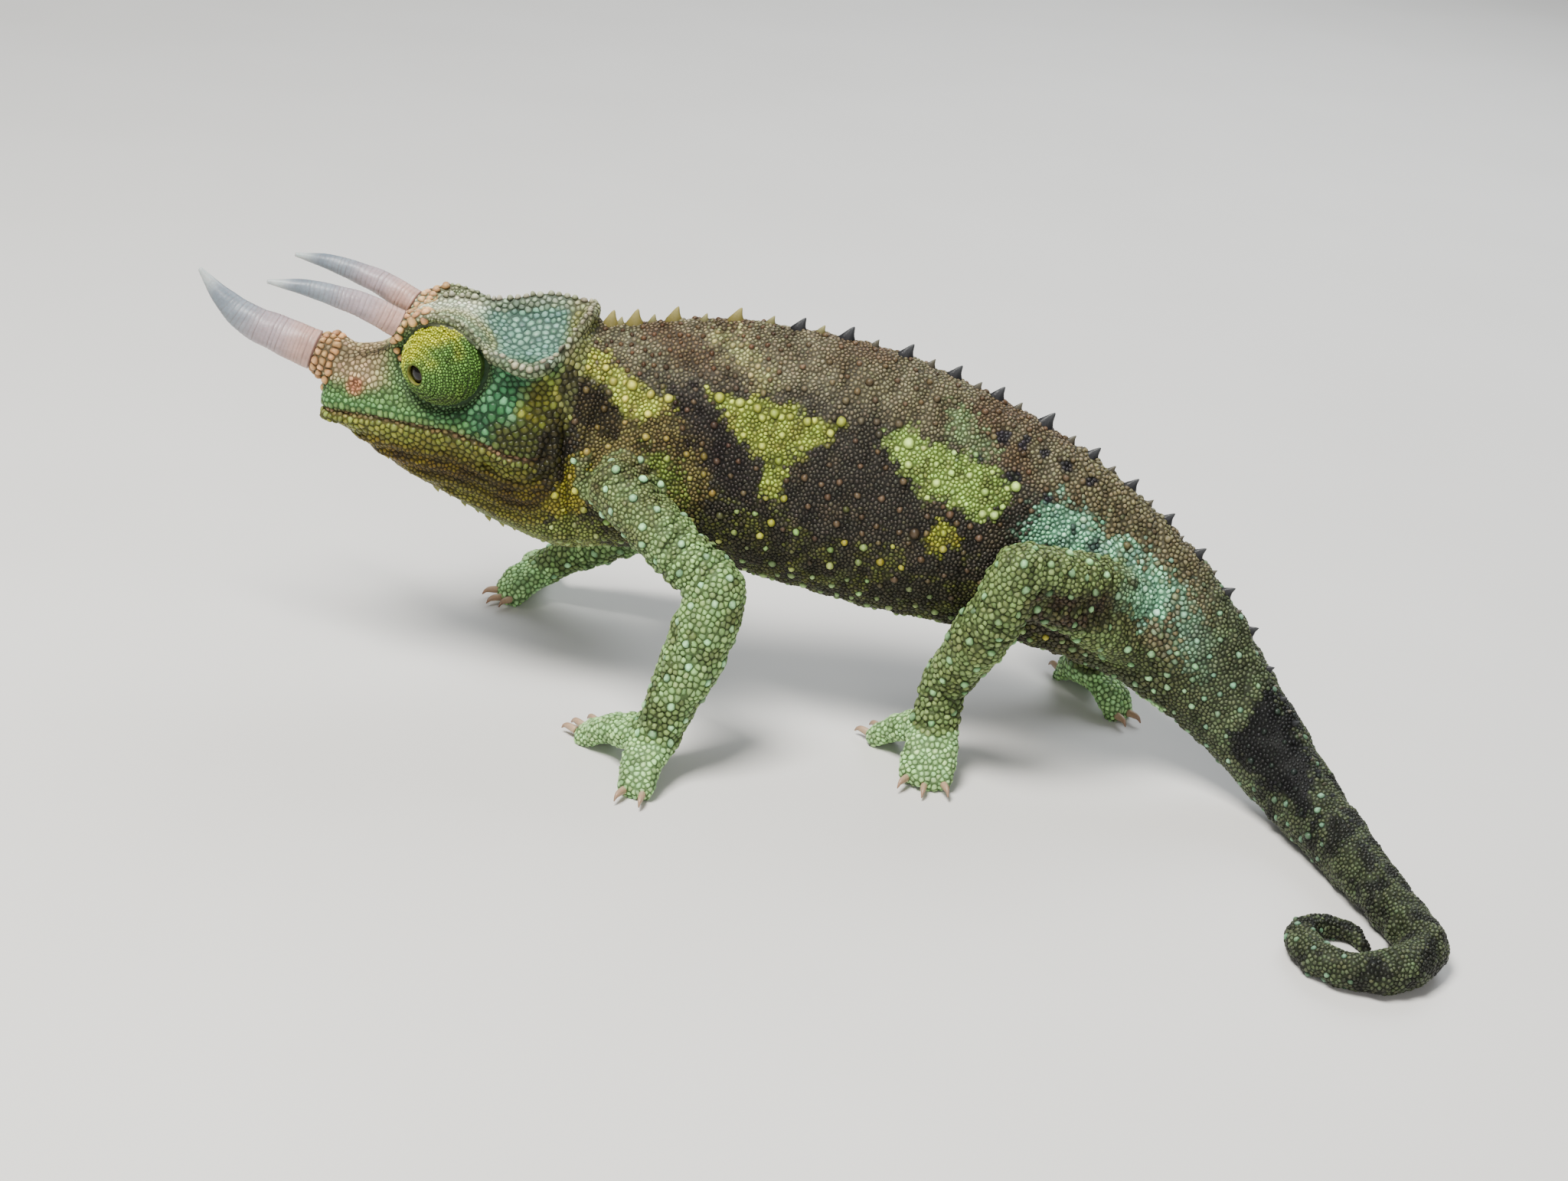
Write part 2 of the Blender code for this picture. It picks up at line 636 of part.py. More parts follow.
def eye_parts(sign, side):
    """The lid, a ball with a small round opening that looks ahead and out, and the eyeball that shows in it."""
    centre = lean(near_side(EYE_SOCKET, sign))
    gaze = lean_direction(near_side(PUPIL_TURN, sign)).normalized()
    lid = ball("eyelid_" + side, centre, (EYE_RADIUS,) * 3, 20, 12)
    lid.data.transform(Matrix.Translation(centre) @ turned_to(gaze) @ Matrix.Translation(-centre))
    seat = centre + gaze * (EYE_RADIUS - EYEBALL_DEPTH)
    cut(lid, ball("cup", seat, (EYEBALL_RADIUS + GAP,) * 3, 12, 7))
    cut(lid, drum("pit", centre + gaze * (EYE_RADIUS - 0.9), gaze, LID_OPENING + 0.2, 3.2, LID_OPENING, 12))
    eye = ball("eye_" + side, seat, (EYEBALL_RADIUS,) * 3, 12, 7)
    return lid, eye


def cut_features(skin):
    """Sockets, nostrils, horn seats and the floor's flats."""
    for sign in (1, -1):
        cut(skin, ball("socket", lean(near_side(EYE_SOCKET, sign)), (EYE_RADIUS + GAP,) * 3, 20, 12))
        nostril = lean(near_side(NOSTRIL, sign))
        cut(skin, drum("nostril", nostril, lean_direction((-0.35, sign, 0.25)), 0.4, 1.6, sides=8))
        cut(skin, horn_seat([near_side(key, sign) for key in BROW_HORN], BROW_RADII[0]))
    cut(skin, horn_seat(ROSTRAL_HORN, ROSTRAL_RADII[0]))
    floor = bmesh.new()
    bmesh.ops.create_cube(floor, size=300.0, matrix=Matrix.Translation((0, 0, -150.0)))
    cut(skin, object_from("floor", floor))


def part_skin(skin):
    """Parts the skin with thin cuts, and names each piece by the point that it holds."""
    cut(skin, mouth_cutter())
    for centre, direction, radius in NECK_CUTS:
        cut(skin, disc(lean(centre), lean_direction(direction), radius))
    anchors = {
        "head": lean((-30.0, 0.0, 30.0)),
        "lower_jaw": lean((-33.0, 0.0, 23.0)),
        "neck": lean((-20.0, 0.0, 32.0)),
        "torso": lean((5.0, 0.0, 27.0)),
    }
    rows = smooth_rows(SPINE_ROWS[FIRST_TAIL_ROW:], 6)
    lengths = [0.0]
    for start, end in zip(rows, rows[1:]):
        lengths.append(lengths[-1] + (Vector(end[:3]) - Vector(start[:3])).length)
    places = []
    for distance in TAIL_CUTS:
        index = min(range(len(rows)), key=lambda i: abs(lengths[i] - distance))
        places.append(index)
        cut(skin, tail_cut(rows[index]))
    names = ("tail_base", "tail_middle", "tail_end", "tail_tip")
    for name, start, end in zip(names, places, places[1:] + [len(rows) - 3]):
        anchors[name] = Vector(rows[(start + end) // 2][:3])
    for name, leg in LEGS.items():
        for slit in leg_cuts(name, leg):
            cut(skin, slit)
        anchors[name + "_upper"] = Vector(leg["upper"][0][0]).lerp(Vector(leg["upper"][-1][0]), 0.68)
        anchors[name + "_lower"] = Vector(leg["lower"][1][0])
        anchors[name + "_foot"] = Vector(leg["palm"][0])
    pieces = {}
    shells = [copy_of_shell(skin, "shell", shell) for shell in shells_of(skin.data)]
    for shell in shells:
        tree = tree_of(shell)
        held = [name for name, point in anchors.items() if contains(tree, point)]
        if len(held) == 1:
            shell.name = held[0]
            pieces[held[0]] = shell
        else:
            bpy.data.objects.remove(shell)
    if len(pieces) < len(anchors):
        raise RuntimeError(f"no piece for {sorted(set(anchors) - set(pieces))}")
    bpy.data.objects.remove(skin)
    return pieces


def spine(base, up, backward, height, length, width):
    """A four-sided thorn with its root sunk in the skin and its tip leaning to the tail."""
    side = up.cross(backward).normalized()
    foot = base - up * SPINE_ROOT
    tip = base + up * height + backward * (0.45 * height)
    builder = bmesh.new()
    corners = [
        builder.verts.new(foot + backward * length / 2),
        builder.verts.new(foot + side * width / 2),
        builder.verts.new(foot - backward * length / 2),
        builder.verts.new(foot - side * width / 2),
    ]
    point = builder.verts.new(tip)
    builder.faces.new(corners)
    for k in range(4):
        builder.faces.new((corners[k], corners[(k + 1) % 4], point))
    return object_from("spine", builder)


def owner_of(point, trees):
    """The piece whose surface is nearest, and how far the next one is."""
    found = sorted((tree.find_nearest(point)[3], name) for name, tree in trees.items())
    return found[0][1], found[1][0]


def dorsal_spines(pieces):
    """A row of thorns down the back, each with a smaller one before it, shrinking along the tail."""
    trees = {name: tree_of(pieces[name]) for name in ("neck", "torso", "tail_base", "tail_middle", "tail_end")}
    rows = smooth_rows(SPINE_ROWS, 12)
    additions = {name: [] for name in trees}
    travelled, due, small = 0.0, 1.0, False
    for start, end in zip(rows, rows[1:]):
        step = (Vector(end[:3]) - Vector(start[:3])).length
        travelled += step
        x = start[0]
        if x < -19.0 or travelled < due:
            continue
        forward, _, up = frame_at(start[7], start[5], start[6])
        along = (Vector(end[:3]) - Vector(start[:3])).normalized()
        up = (up - along * up.dot(along)).normalized()
        top = Vector(start[:3]) + up * (start[3] + 6.0)
        hits = [tree.ray_cast(top, -up) for tree in trees.values()]
        hits = [hit for hit in hits if hit[0] is not None and hit[3] < 8.5]
        if not hits:
            continue
        base = min(hits, key=lambda hit: hit[3])[0]
        name, clearance = owner_of(base, trees)
        share = min(max((x - 22.0) / 34.0, 0.0), 1.0)
        size = (1 - 0.62 * share) * (0.52 if small else rng.uniform(0.9, 1.08))
        if clearance < 0.62 * SPINE_LENGTH * size + GAP:
            continue
        height, length = SPINE_HEIGHT * size, SPINE_LENGTH * size
        additions[name].append(spine(base, up, along, height, length, SPINE_WIDTH * max(size, 0.55)))
        due = travelled + SPINE_SPACING / 2 * (1 - 0.4 * share)
        small = not small
        if name == "tail_end":
            break
    for name, spines in additions.items():
        if spines:
            fuse(pieces[name], spines)


def gular_cones(pieces):
    """Small soft cones in a row along the throat's middle."""
    tree = tree_of(pieces["lower_jaw"])
    cones = []
    for k in range(8):
        x = -43.5 + k * 2.3
        start = lean((x, 0.0, 8.0))
        up = lean_direction((0, 0, 1)).normalized()
        hit = tree.ray_cast(start, up)[0]
        if hit is not None:
            cones.append(spine(hit, -up, Vector((1, 0, 0)), 0.8, 1.3, 0.9))
    fuse(pieces["lower_jaw"], cones)


def claws(pieces):
    """A hooked claw on each toe, its root sunk in the toe and its point just over the floor."""
    for name, leg in LEGS.items():
        additions = []
        for tip, count, spacing in leg["bundles"]:
            for path in toe_paths(leg["palm"][0], tip, count, spacing):
                end = Vector(path[-1][:3])
                reach = end - Vector(path[-2][:3])
                reach.z = 0
                reach.normalize()
                knuckle = end + reach * 0.7
                rows = (
                    (*(end + Vector((0, 0, 0.3))), 0.5),
                    (*(knuckle + reach * 0.45 * CLAW_LENGTH + Vector((0, 0, 0.25))), 0.4),
                    (*(knuckle + reach * CLAW_LENGTH - Vector((0, 0, 0.15))), 0.12),
                )
                additions.append(tube("claw", rows, 1, 1))
        fuse(pieces[name + "_foot"], additions)


def finish(piece, colour, roughness):
    """Sets the finished piece in the model's collection, about the origin, in metres and with its own material."""
    piece.data.transform(Matrix.Scale(METRES_PER_MM, 4) @ Matrix.Translation(-Vector(FOOTPRINT_CENTRE)))
    builder = bmesh.new()
    builder.from_mesh(piece.data)
    bmesh.ops.triangulate(builder, faces=builder.faces)
    builder.to_mesh(piece.data)
    builder.free()
    piece.data.name = piece.name
    material = bpy.data.materials.new(piece.name)
    material.use_nodes = True
    shader = material.node_tree.nodes["Principled BSDF"]
    shader.inputs["Base Color"].default_value = (*colour, 1.0)
    shader.inputs["Roughness"].default_value = roughness
    shader.inputs["Metallic"].default_value = 0.0
    piece.data.materials.clear()
    piece.data.materials.append(material)
    piece.data.shade_smooth()
    piece.data.set_sharp_from_angle(angle=math.radians(40))
    workshop.objects.unlink(piece)
    chameleon.objects.link(piece)


def colour_of(name):
    for key in ("lower_jaw", "head", "neck", "torso", "tail"):
        if name.startswith(key):
            return COLOURS[key]
    return COLOURS["leg"]


skin = whole_skin()
cut_features(skin)
flesh = part_skin(skin)
dorsal_spines(flesh)
gular_cones(flesh)
claws(flesh)
for name, piece in flesh.items():
    keep_largest(piece)
    finish(piece, colour_of(name), 0.7)

for sign, side in ((-1, "left"), (1, "right")):
    lid, eye = eye_parts(sign, side)
    finish(lid, COLOURS["lid"], 0.6)
    finish(eye, COLOURS["eye"], 0.15)
    keys = [near_side(key, sign) for key in BROW_HORN]
    finish(horn("horn_" + side, keys, BROW_RADII), COLOURS["horn"], 0.45)
finish(horn("horn_rostral", ROSTRAL_HORN, ROSTRAL_RADII), COLOURS["horn"], 0.45)
bpy.data.collections.remove(workshop)
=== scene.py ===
"""The looks of a Jackson's chameleon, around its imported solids.

Shapes are worked out in millimetres about the middle of the body, and finish_piece moves each finished mesh to the
frame of the solids, in metres. The head faces -X and the animal's left side, which the camera sees, faces -Y.
"""

import math

import bmesh
import bpy
import numpy as np
from mathutils import Matrix, Vector
from mathutils.bvhtree import BVHTree
from mathutils.kdtree import KDTree


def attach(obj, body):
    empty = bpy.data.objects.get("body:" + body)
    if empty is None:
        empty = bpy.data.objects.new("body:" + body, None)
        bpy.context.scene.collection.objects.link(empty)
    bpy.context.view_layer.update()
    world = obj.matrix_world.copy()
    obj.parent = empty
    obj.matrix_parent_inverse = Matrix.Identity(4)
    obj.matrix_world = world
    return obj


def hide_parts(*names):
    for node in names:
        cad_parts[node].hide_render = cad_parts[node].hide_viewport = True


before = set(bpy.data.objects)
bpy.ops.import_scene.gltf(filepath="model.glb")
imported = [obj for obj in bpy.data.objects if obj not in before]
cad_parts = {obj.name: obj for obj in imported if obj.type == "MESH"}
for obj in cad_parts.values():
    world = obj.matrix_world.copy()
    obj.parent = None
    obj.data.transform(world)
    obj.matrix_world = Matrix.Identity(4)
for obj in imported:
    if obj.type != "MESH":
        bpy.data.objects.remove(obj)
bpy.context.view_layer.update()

# The camera looks at the animal's left side from 25 degrees above the floor, rolled so that the back falls away to
# the right. It is placed from the point that it looks at, in the middle of the body.
FOOTPRINT_CENTRE = Vector((1.543, -8.683, 0.0))
METRES_PER_MM = 0.001
CAMERA_TARGET = Vector((0.0, 0.0, 12.5))
CAMERA_DISTANCE = 260.0
CAMERA_HEIGHT_ANGLE = math.radians(25.0)
CAMERA_ROLL = math.radians(7.0)
CAMERA_LENS = 58.5
SENSOR_WIDTH = 36.0
X_AXIS, Z_AXIS = Vector((1, 0, 0)), Vector((0, 0, 1))


def in_metres(point):
    return (Vector(point) - FOOTPRINT_CENTRE) * METRES_PER_MM


def add_object(name, data):
    piece = bpy.data.objects.new(name, data)
    bpy.context.scene.collection.objects.link(piece)
    return piece


camera_data = bpy.data.cameras.new("camera")
camera_data.sensor_width, camera_data.lens = SENSOR_WIDTH, CAMERA_LENS
camera_data.clip_start, camera_data.clip_end = 0.01, 20.0
camera = add_object("camera", camera_data)
back = Vector((0.0, -math.cos(CAMERA_HEIGHT_ANGLE), math.sin(CAMERA_HEIGHT_ANGLE)))
level_up = Vector((0.0, math.sin(CAMERA_HEIGHT_ANGLE), math.cos(CAMERA_HEIGHT_ANGLE)))
right = X_AXIS * math.cos(CAMERA_ROLL) + level_up * math.sin(CAMERA_ROLL)
up = level_up * math.cos(CAMERA_ROLL) - X_AXIS * math.sin(CAMERA_ROLL)
turned = Matrix((right, up, back)).transposed().to_4x4()
camera.matrix_world = Matrix.Translation(in_metres(CAMERA_TARGET + back * CAMERA_DISTANCE)) @ turned
bpy.context.scene.camera = camera

# The floor is one pale sheet, wide enough that no view shows its edge, with a faint mottle.
FLOOR_SIZE = 8.0
FLOOR_DROP = 0.00002


def new_material(name):
    """A material with its node tree and its main shader."""
    material = bpy.data.materials.new(name)
    material.use_nodes = True
    return material, material.node_tree, material.node_tree.nodes["Principled BSDF"]


def set_sockets(node, values):
    for socket, value in values.items():
        node.inputs[socket].default_value = value


def add_node(tree, kind, values=None):
    node = tree.nodes.new("ShaderNode" + kind)
    set_sockets(node, values or {})
    return node


def wire(tree, *wires):
    """Joins nodes, each wire given as a node and its output, then a node and its input."""
    for source, output, target, socket in wires:
        tree.links.new(source.outputs[output], target.inputs[socket])


bpy.ops.object.select_all(action="DESELECT")
bpy.ops.mesh.primitive_plane_add(size=FLOOR_SIZE, location=(0, 0, -FLOOR_DROP))
floor = bpy.context.object
floor.name = "floor"
paper, paper_tree, paper_shader = new_material("floor_paper")
set_sockets(paper_shader, {"Roughness": 0.8})
paper_mottle = add_node(paper_tree, "TexNoise", {"Scale": 30.0})
paper_ramp = add_node(paper_tree, "ValToRGB")
paper_ramp.color_ramp.elements[0].color = (0.63, 0.62, 0.59, 1)
paper_ramp.color_ramp.elements[1].color = (0.68, 0.67, 0.645, 1)
wire(
    paper_tree,
    (add_node(paper_tree, "TexCoord"), "Object", paper_mottle, "Vector"),
    (paper_mottle, "Fac", paper_ramp, "Fac"),
    (paper_ramp, "Color", paper_shader, "Base Color"),
)
floor.data.materials.append(paper)

# Soft light: a large key above the animal's left and head, a cooler fill behind, a low front fill, and a pale world.
# Each lamp is a square sheet that faces the body, with its place and width in millimetres.
LIT_POINT = (0, 0, 15)
LAMPS = (
    ("key", (-130.0, -150.0, 430.0), 160.0, 4.9, (1.0, 0.98, 0.94)),
    ("back_fill", (170.0, 300.0, 320.0), 300.0, 1.7, (0.9, 0.95, 1.0)),
    ("front_fill", (60.0, -420.0, 160.0), 260.0, 0.7, (1.0, 0.97, 0.95)),
)
for name, place, size, power, colour in LAMPS:
    lamp_data = bpy.data.lights.new(name, "AREA")
    lamp_data.size = size * METRES_PER_MM
    lamp_data.energy = power
    lamp_data.color = colour
    lamp = add_object(name, lamp_data)
    lamp.location = in_metres(place)
    lamp.rotation_euler = (in_metres(LIT_POINT) - lamp.location).to_track_quat("-Z", "Y").to_euler()
world = bpy.data.worlds.new("studio")
world.use_nodes = True
set_sockets(world.node_tree.nodes["Background"], {"Color": (0.93, 0.95, 1.0, 1), "Strength": 0.25})
bpy.context.scene.world = world

# The skin is one closed surface over trunk, tail, head and legs. Lofts give the trunk and head, round tubes give
# the crests, lips, legs and toes, and they are merged in small voxels and smoothed, a scale's depth under the solids.
LEAN = math.radians(5.0)
MIDDLE_Y = -3.5
SKIN_VOXEL = 0.38
COAT_DEPTH = 0.16
FLOOR_GAP = 0.03
ROWS_PER_STATION = 6
FAR = 1e9

# Trunk stations in the body's upright frame: x, y and z of the centre, half height, half width, tilt to the tail
TRUNK = (
    (-24.0, 0.0, 27.4, 11.0, 5.6, 4.0), (-18.7, 0.0, 27.8, 11.7, 6.2, 4.3), (-13.0, 0.0, 28.6, 12.0, 6.7, 4.0),
    (-7.3, 0.0, 28.7, 12.4, 7.1, 4.9), (-1.6, 0.0, 28.0, 12.9, 7.5, 5.3), (4.3, 0.0, 27.2, 13.0, 7.7, 6.8),
    (9.3, 0.0, 26.2, 12.9, 7.7, 7.8), (15.0, -0.2, 24.9, 12.1, 7.3, 11.3), (20.2, -0.5, 23.7, 11.3, 6.6, 15.0),
    (26.4, -1.0, 21.6, 10.2, 5.8, 17.9), (32.5, -1.7, 19.1, 8.9, 5.1, 18.9), (37.5, -2.7, 16.5, 7.7, 4.8, 22.0),
)

# Tail stations on the floor: x, y and z of the centre, half height, half width, tilt, lean, heading
TAIL = (
    (42.0, -6.4, 13.4, 6.7, 4.5, 24.0, 4.0, -20.0),
    (46.2, -8.2, 9.6, 5.5, 4.2, 24.0, 3.0, -30.0),
    (50.2, -11.4, 6.2, 4.6, 3.9, 20.0, 2.0, -48.0),
    (53.6, -16.4, 3.9, 3.8, 3.5, 10.0, 0.0, -60.0),
    (56.6, -23.2, 3.0, 3.1, 3.0, 3.0, 0.0, -66.0),
    (59.2, -30.0, 2.45, 2.6, 2.6, 0.0, 0.0, -68.0),
)
RUMP_START = 20.0
RUMP_LENGTH = 22.0
RUMP_HEADING = -20.0
COIL_ARRIVAL = 7.0
COIL_TURNS = 1.1
COIL_RADIUS = 7.2
COIL_SHRINK = 0.75
TAIL_TIP_RADIUS = 0.75
FLOOR_SINK = 0.15

# Head stations in the upright frame: x, throat z, jaw half width, cheek z, cheek half width, temple half width,
# crest z, crest half width, roof z
HEAD = (
    (-47.6, 27.2, 0.9, 28.8, 1.6, 1.5, 30.4, 1.1, 31.2),
    (-46.8, 26.3, 1.6, 28.6, 2.7, 2.6, 31.8, 2.0, 33.2),
    (-45.2, 25.2, 2.4, 28.5, 3.6, 3.4, 32.8, 2.7, 34.1),
    (-43.0, 23.9, 3.0, 28.4, 4.5, 4.0, 33.5, 3.3, 34.4),
    (-41.2, 22.8, 3.4, 28.4, 5.1, 4.2, 34.8, 3.9, 35.0),
    (-39.2, 21.6, 3.7, 28.4, 5.6, 4.4, 37.4, 4.7, 38.1),
    (-36.0, 20.0, 4.0, 28.4, 6.2, 4.6, 38.6, 5.4, 39.5),
    (-33.0, 18.6, 4.2, 28.3, 6.6, 5.0, 38.2, 5.9, 39.9),
    (-30.0, 17.3, 4.4, 28.0, 6.9, 5.7, 36.7, 6.4, 39.7),
    (-27.0, 16.2, 4.6, 27.2, 7.1, 6.1, 35.7, 6.9, 40.3),
    (-24.8, 15.6, 4.8, 26.9, 7.0, 6.1, 36.2, 6.5, 40.7),
    (-22.8, 15.3, 4.9, 26.9, 6.6, 5.8, 37.6, 4.8, 40.4),
    (-20.8, 15.4, 5.0, 27.2, 6.2, 5.4, 37.6, 3.4, 39.3),
    (-18.0, 16.2, 5.0, 27.6, 6.0, 5.2, 36.4, 3.0, 38.6),
)
LATERAL_CREST = (
    (-40.6, 4.1, 36.9, 0.8), (-37.1, 5.5, 38.5, 0.9), (-33.8, 6.1, 38.2, 0.8), (-30.7, 6.7, 36.3, 0.75),
    (-27.6, 7.1, 35.1, 0.8), (-25.6, 6.9, 35.5, 0.8), (-23.8, 5.2, 37.4, 0.7), (-22.1, 2.6, 39.7, 0.7),
    (-21.6, 0.0, 40.3, 0.8),
)
PARIETAL_CREST = (
    (-37.0, 0.0, 39.4, 0.6), (-30.5, 0.0, 39.7, 0.7), (-26.0, 0.0, 40.6, 0.8), (-21.6, 0.0, 40.3, 0.7),
)
MOUTH_LINE = (
    (-50.5, 27.4), (-46.6, 27.6), (-42.7, 27.9), (-38.4, 27.9), (-34.4, 27.9), (-31.0, 27.3), (-28.4, 26.3),
    (-26.0, 26.1), (-23.05, 26.9),
)
LIP_WIDTHS = (0.0, 2.9, 4.4, 5.4, 6.2, 6.7, 7.0, 6.9)
LIP_RADIUS = 0.65
SNOUT_X = -47.3

# Each leg: the keys of its tubes and its palm, as x, y, z and radius, and its two bundles of toes, each with the x
# and y of its middle tip, the number of its toes and the gap between them
LEGS = {
    "fore_left": {
        "upper": ((-18.4, -7.4, 26.0, 3.2), (-13.0, -11.8, 22.9, 3.0), (-6.3, -15.4, 19.0, 2.9)),
        "lower": ((-6.3, -15.4, 19.0, 3.0), (-7.5, -16.6, 13.5, 3.2), (-9.7, -18.2, 7.2, 2.7)),
        "palm": (-10.6, -18.9, 4.0, 2.4),
        "bundles": (((-12.0, -24.6), 2, 1.9), ((-18.2, -12.2), 3, 1.45)),
    },
    "hind_left": {
        "upper": ((34.6, -6.6, 19.6, 3.0), (28.0, -10.9, 22.6, 2.8), (22.2, -13.8, 24.4, 2.7)),
        "flap": ((36.6, -6.0, 14.4, 3.0), (30.6, -9.4, 17.4, 2.7), (25.8, -12.2, 20.8, 2.2)),
        "web": ((33.0, -7.0, 17.6, 2.6), (28.4, -10.0, 18.6, 2.3), (23.6, -12.4, 20.4, 2.0)),
        "lower": ((22.2, -13.8, 24.4, 2.7), (20.0, -12.7, 17.0, 3.0), (16.9, -9.6, 9.2, 2.4)),
        "palm": (16.5, -10.8, 4.7, 2.5),
        "bundles": (((16.0, -15.9), 3, 1.85), ((10.8, -5.8), 2, 1.8)),
    },
    "fore_right": {
        "upper": ((-17.6, 3.6, 25.0, 3.1), (-14.8, 9.8, 18.4, 2.9), (-13.2, 14.8, 12.6, 2.6)),
        "lower": ((-13.2, 14.8, 12.6, 2.7), (-18.6, 16.2, 8.9, 2.6), (-24.4, 17.4, 5.2, 2.1)),
        "palm": (-26.4, 18.0, 3.4, 2.1),
        "bundles": (((-30.6, 14.6), 3, 1.3), ((-28.2, 24.2), 2, 1.7)),
    },
    "hind_right": {
        "upper": ((35.2, 1.4, 18.8, 3.1), (29.6, 7.4, 19.4, 2.9), (24.2, 12.4, 18.4, 2.5)),
        "flap": ((37.0, 0.6, 14.8, 2.7), (32.2, 5.6, 16.2, 2.4), (28.2, 9.2, 17.2, 2.1)),
        "lower": ((24.2, 12.4, 18.4, 2.5), (27.6, 11.6, 11.8, 2.6), (32.4, 9.6, 6.0, 2.2)),
        "palm": (33.8, 8.8, 3.3, 2.1),
        "bundles": (((37.2, 4.4), 2, 1.6), ((32.2, 14.4), 3, 1.7)),
    },
}
TOE_RADII = (1.75, 1.45, 1.2, 1.0)
TOE_TIP_HEIGHT = 0.45


def lean(point, sign=1):
    """A point of the upright frame, or its mirror image, on the floor with the back leaning to the far side."""
    x, y, z = point[0], sign * point[1], point[2]
    return Vector((x, MIDDLE_Y + y * math.cos(LEAN) + z * math.sin(LEAN), z * math.cos(LEAN) - y * math.sin(LEAN)))


def upright(points):
    """Rows of points on the floor's frame, in the body's upright frame."""
    x, y, z = points[:, 0], points[:, 1] - MIDDLE_Y, points[:, 2]
    return np.stack((x, y * math.cos(LEAN) - z * math.sin(LEAN), y * math.sin(LEAN) + z * math.cos(LEAN)), axis=1)


def smooth_rows(keys, steps):
    """Rows on a smooth curve that passes through every key."""
    keys = [np.array(key, float) for key in keys]
    rows = []
    for i in range(len(keys) - 1):
        before, start, end, after = (keys[min(max(k, 0), len(keys) - 1)] for k in range(i - 1, i + 3))
        for j in range(steps):
            t = j / steps
            bend = (2 * before - 5 * start + 4 * end - after) * t**2
            twist = (3 * start - before - 3 * end + after) * t**3
            rows.append(0.5 * (2 * start + (end - before) * t + bend + twist))
    rows.append(keys[-1])
    return rows


def close_up(builder, piece):
    """Turns a builder's faces outward and puts them in the piece's mesh."""
    bmesh.ops.recalc_face_normals(builder, faces=builder.faces)
    builder.to_mesh(piece.data)
    builder.free()


def loft(name, rings):
    """A closed skin through rings with the same number of points, its two ends filled."""
    builder = bmesh.new()
    loops = [[builder.verts.new(point) for point in ring] for ring in rings]
    count = len(loops[0])
    for low, high in zip(loops, loops[1:]):
        for k in range(count):
            builder.faces.new((low[k], low[(k + 1) % count], high[(k + 1) % count], high[k]))
    builder.faces.new(loops[0])
    builder.faces.new(loops[-1])
    piece = add_object(name, bpy.data.meshes.new(name))
    close_up(builder, piece)
    return piece


def tube(name, rows, steps=6, sides=16):
    """A round tube along points, each with its radius: rows of x, y, z and radius."""
    rows = smooth_rows(rows, steps)
    turns = [2 * math.pi * k / sides for k in range(sides)]
    rings = []
    for i, row in enumerate(rows):
        ahead, behind = rows[min(i + 1, len(rows) - 1)][:3], rows[max(i - 1, 0)][:3]
        forward = Vector(ahead - behind).normalized()
        side = forward.cross(Vector((0.13, 0.21, 0.97))).normalized()
        over = side.cross(forward)
        rings.append([Vector(row[:3]) + (side * math.cos(a) + over * math.sin(a)) * row[3] for a in turns])
    return loft(name, rings)


def ball(name, centre, radii):
    bpy.ops.object.select_all(action="DESELECT")
    bpy.ops.mesh.primitive_uv_sphere_add(segments=32, ring_count=20, radius=1.0, location=centre)
    piece = bpy.context.object
    piece.name = name
    piece.scale = radii
    bpy.ops.object.transform_apply(location=True, rotation=True, scale=True)
    return piece


def frame_at(heading, tilt, lean_angle):
    """Far side and up of a section, from its heading in plan, its tilt to the tail and its lean."""
    heading, tilt, lean_angle = (math.radians(angle) for angle in (heading, tilt, lean_angle))
    forward = Vector((math.cos(heading), math.sin(heading), 0))
    side = Vector((-math.sin(heading), math.cos(heading), 0))
    over = Vector((0, 0, math.cos(tilt))) + forward * math.sin(tilt)
    leaned_side = side * math.cos(lean_angle) - Z_AXIS * math.sin(lean_angle)
    return leaned_side, over * math.cos(lean_angle) + side * math.sin(lean_angle)


def spine_rows():
    """Stations from the neck to the tail tip: centre, half height, half width, tilt, lean and heading."""
    rows = []
    for x, y, z, half_height, half_width, tilt in TRUNK:
        heading = RUMP_HEADING * max(0.0, (x - RUMP_START) / RUMP_LENGTH) ** 1.5
        rows.append((*lean((x, y, z)), half_height, half_width, tilt, math.degrees(LEAN), heading))
    rows += TAIL
    x, y, _, half_height, _, _, _, heading = TAIL[-1]
    steps = round(COIL_TURNS * 12)
    turn = 360 * COIL_TURNS / steps
    position = Vector((x, y))
    for step in range(1, steps + 1):
        share = step / steps
        radius = COIL_RADIUS * (1 - COIL_SHRINK * share)
        stride = COIL_ARRIVAL if step == 1 else 2 * radius * math.sin(math.radians(turn / 2))
        way = math.radians(heading - turn * (step - 0.5) if step > 1 else heading - 4)
        position += Vector((math.cos(way), math.sin(way))) * stride
        thick = half_height + (TAIL_TIP_RADIUS - half_height) * share**0.85
        rows.append((*position, thick - FLOOR_SINK, thick, thick, 0, 0, heading - turn * step))
    return rows


def section(row, keel, sides=48):
    """An egg-shaped ring, narrower at the back's ridge as keel grows from 0."""
    x, y, z, half_height, half_width, tilt, lean_angle, heading = row
    side, over = frame_at(heading, tilt, lean_angle)
    ring = []
    for k in range(sides):
        angle = 2 * math.pi * k / sides
        across = half_width * math.sin(angle) * (1 - keel * math.cos(angle))
        ring.append(Vector((x, y, z)) + over * half_height * math.cos(angle) + side * across)
    return ring


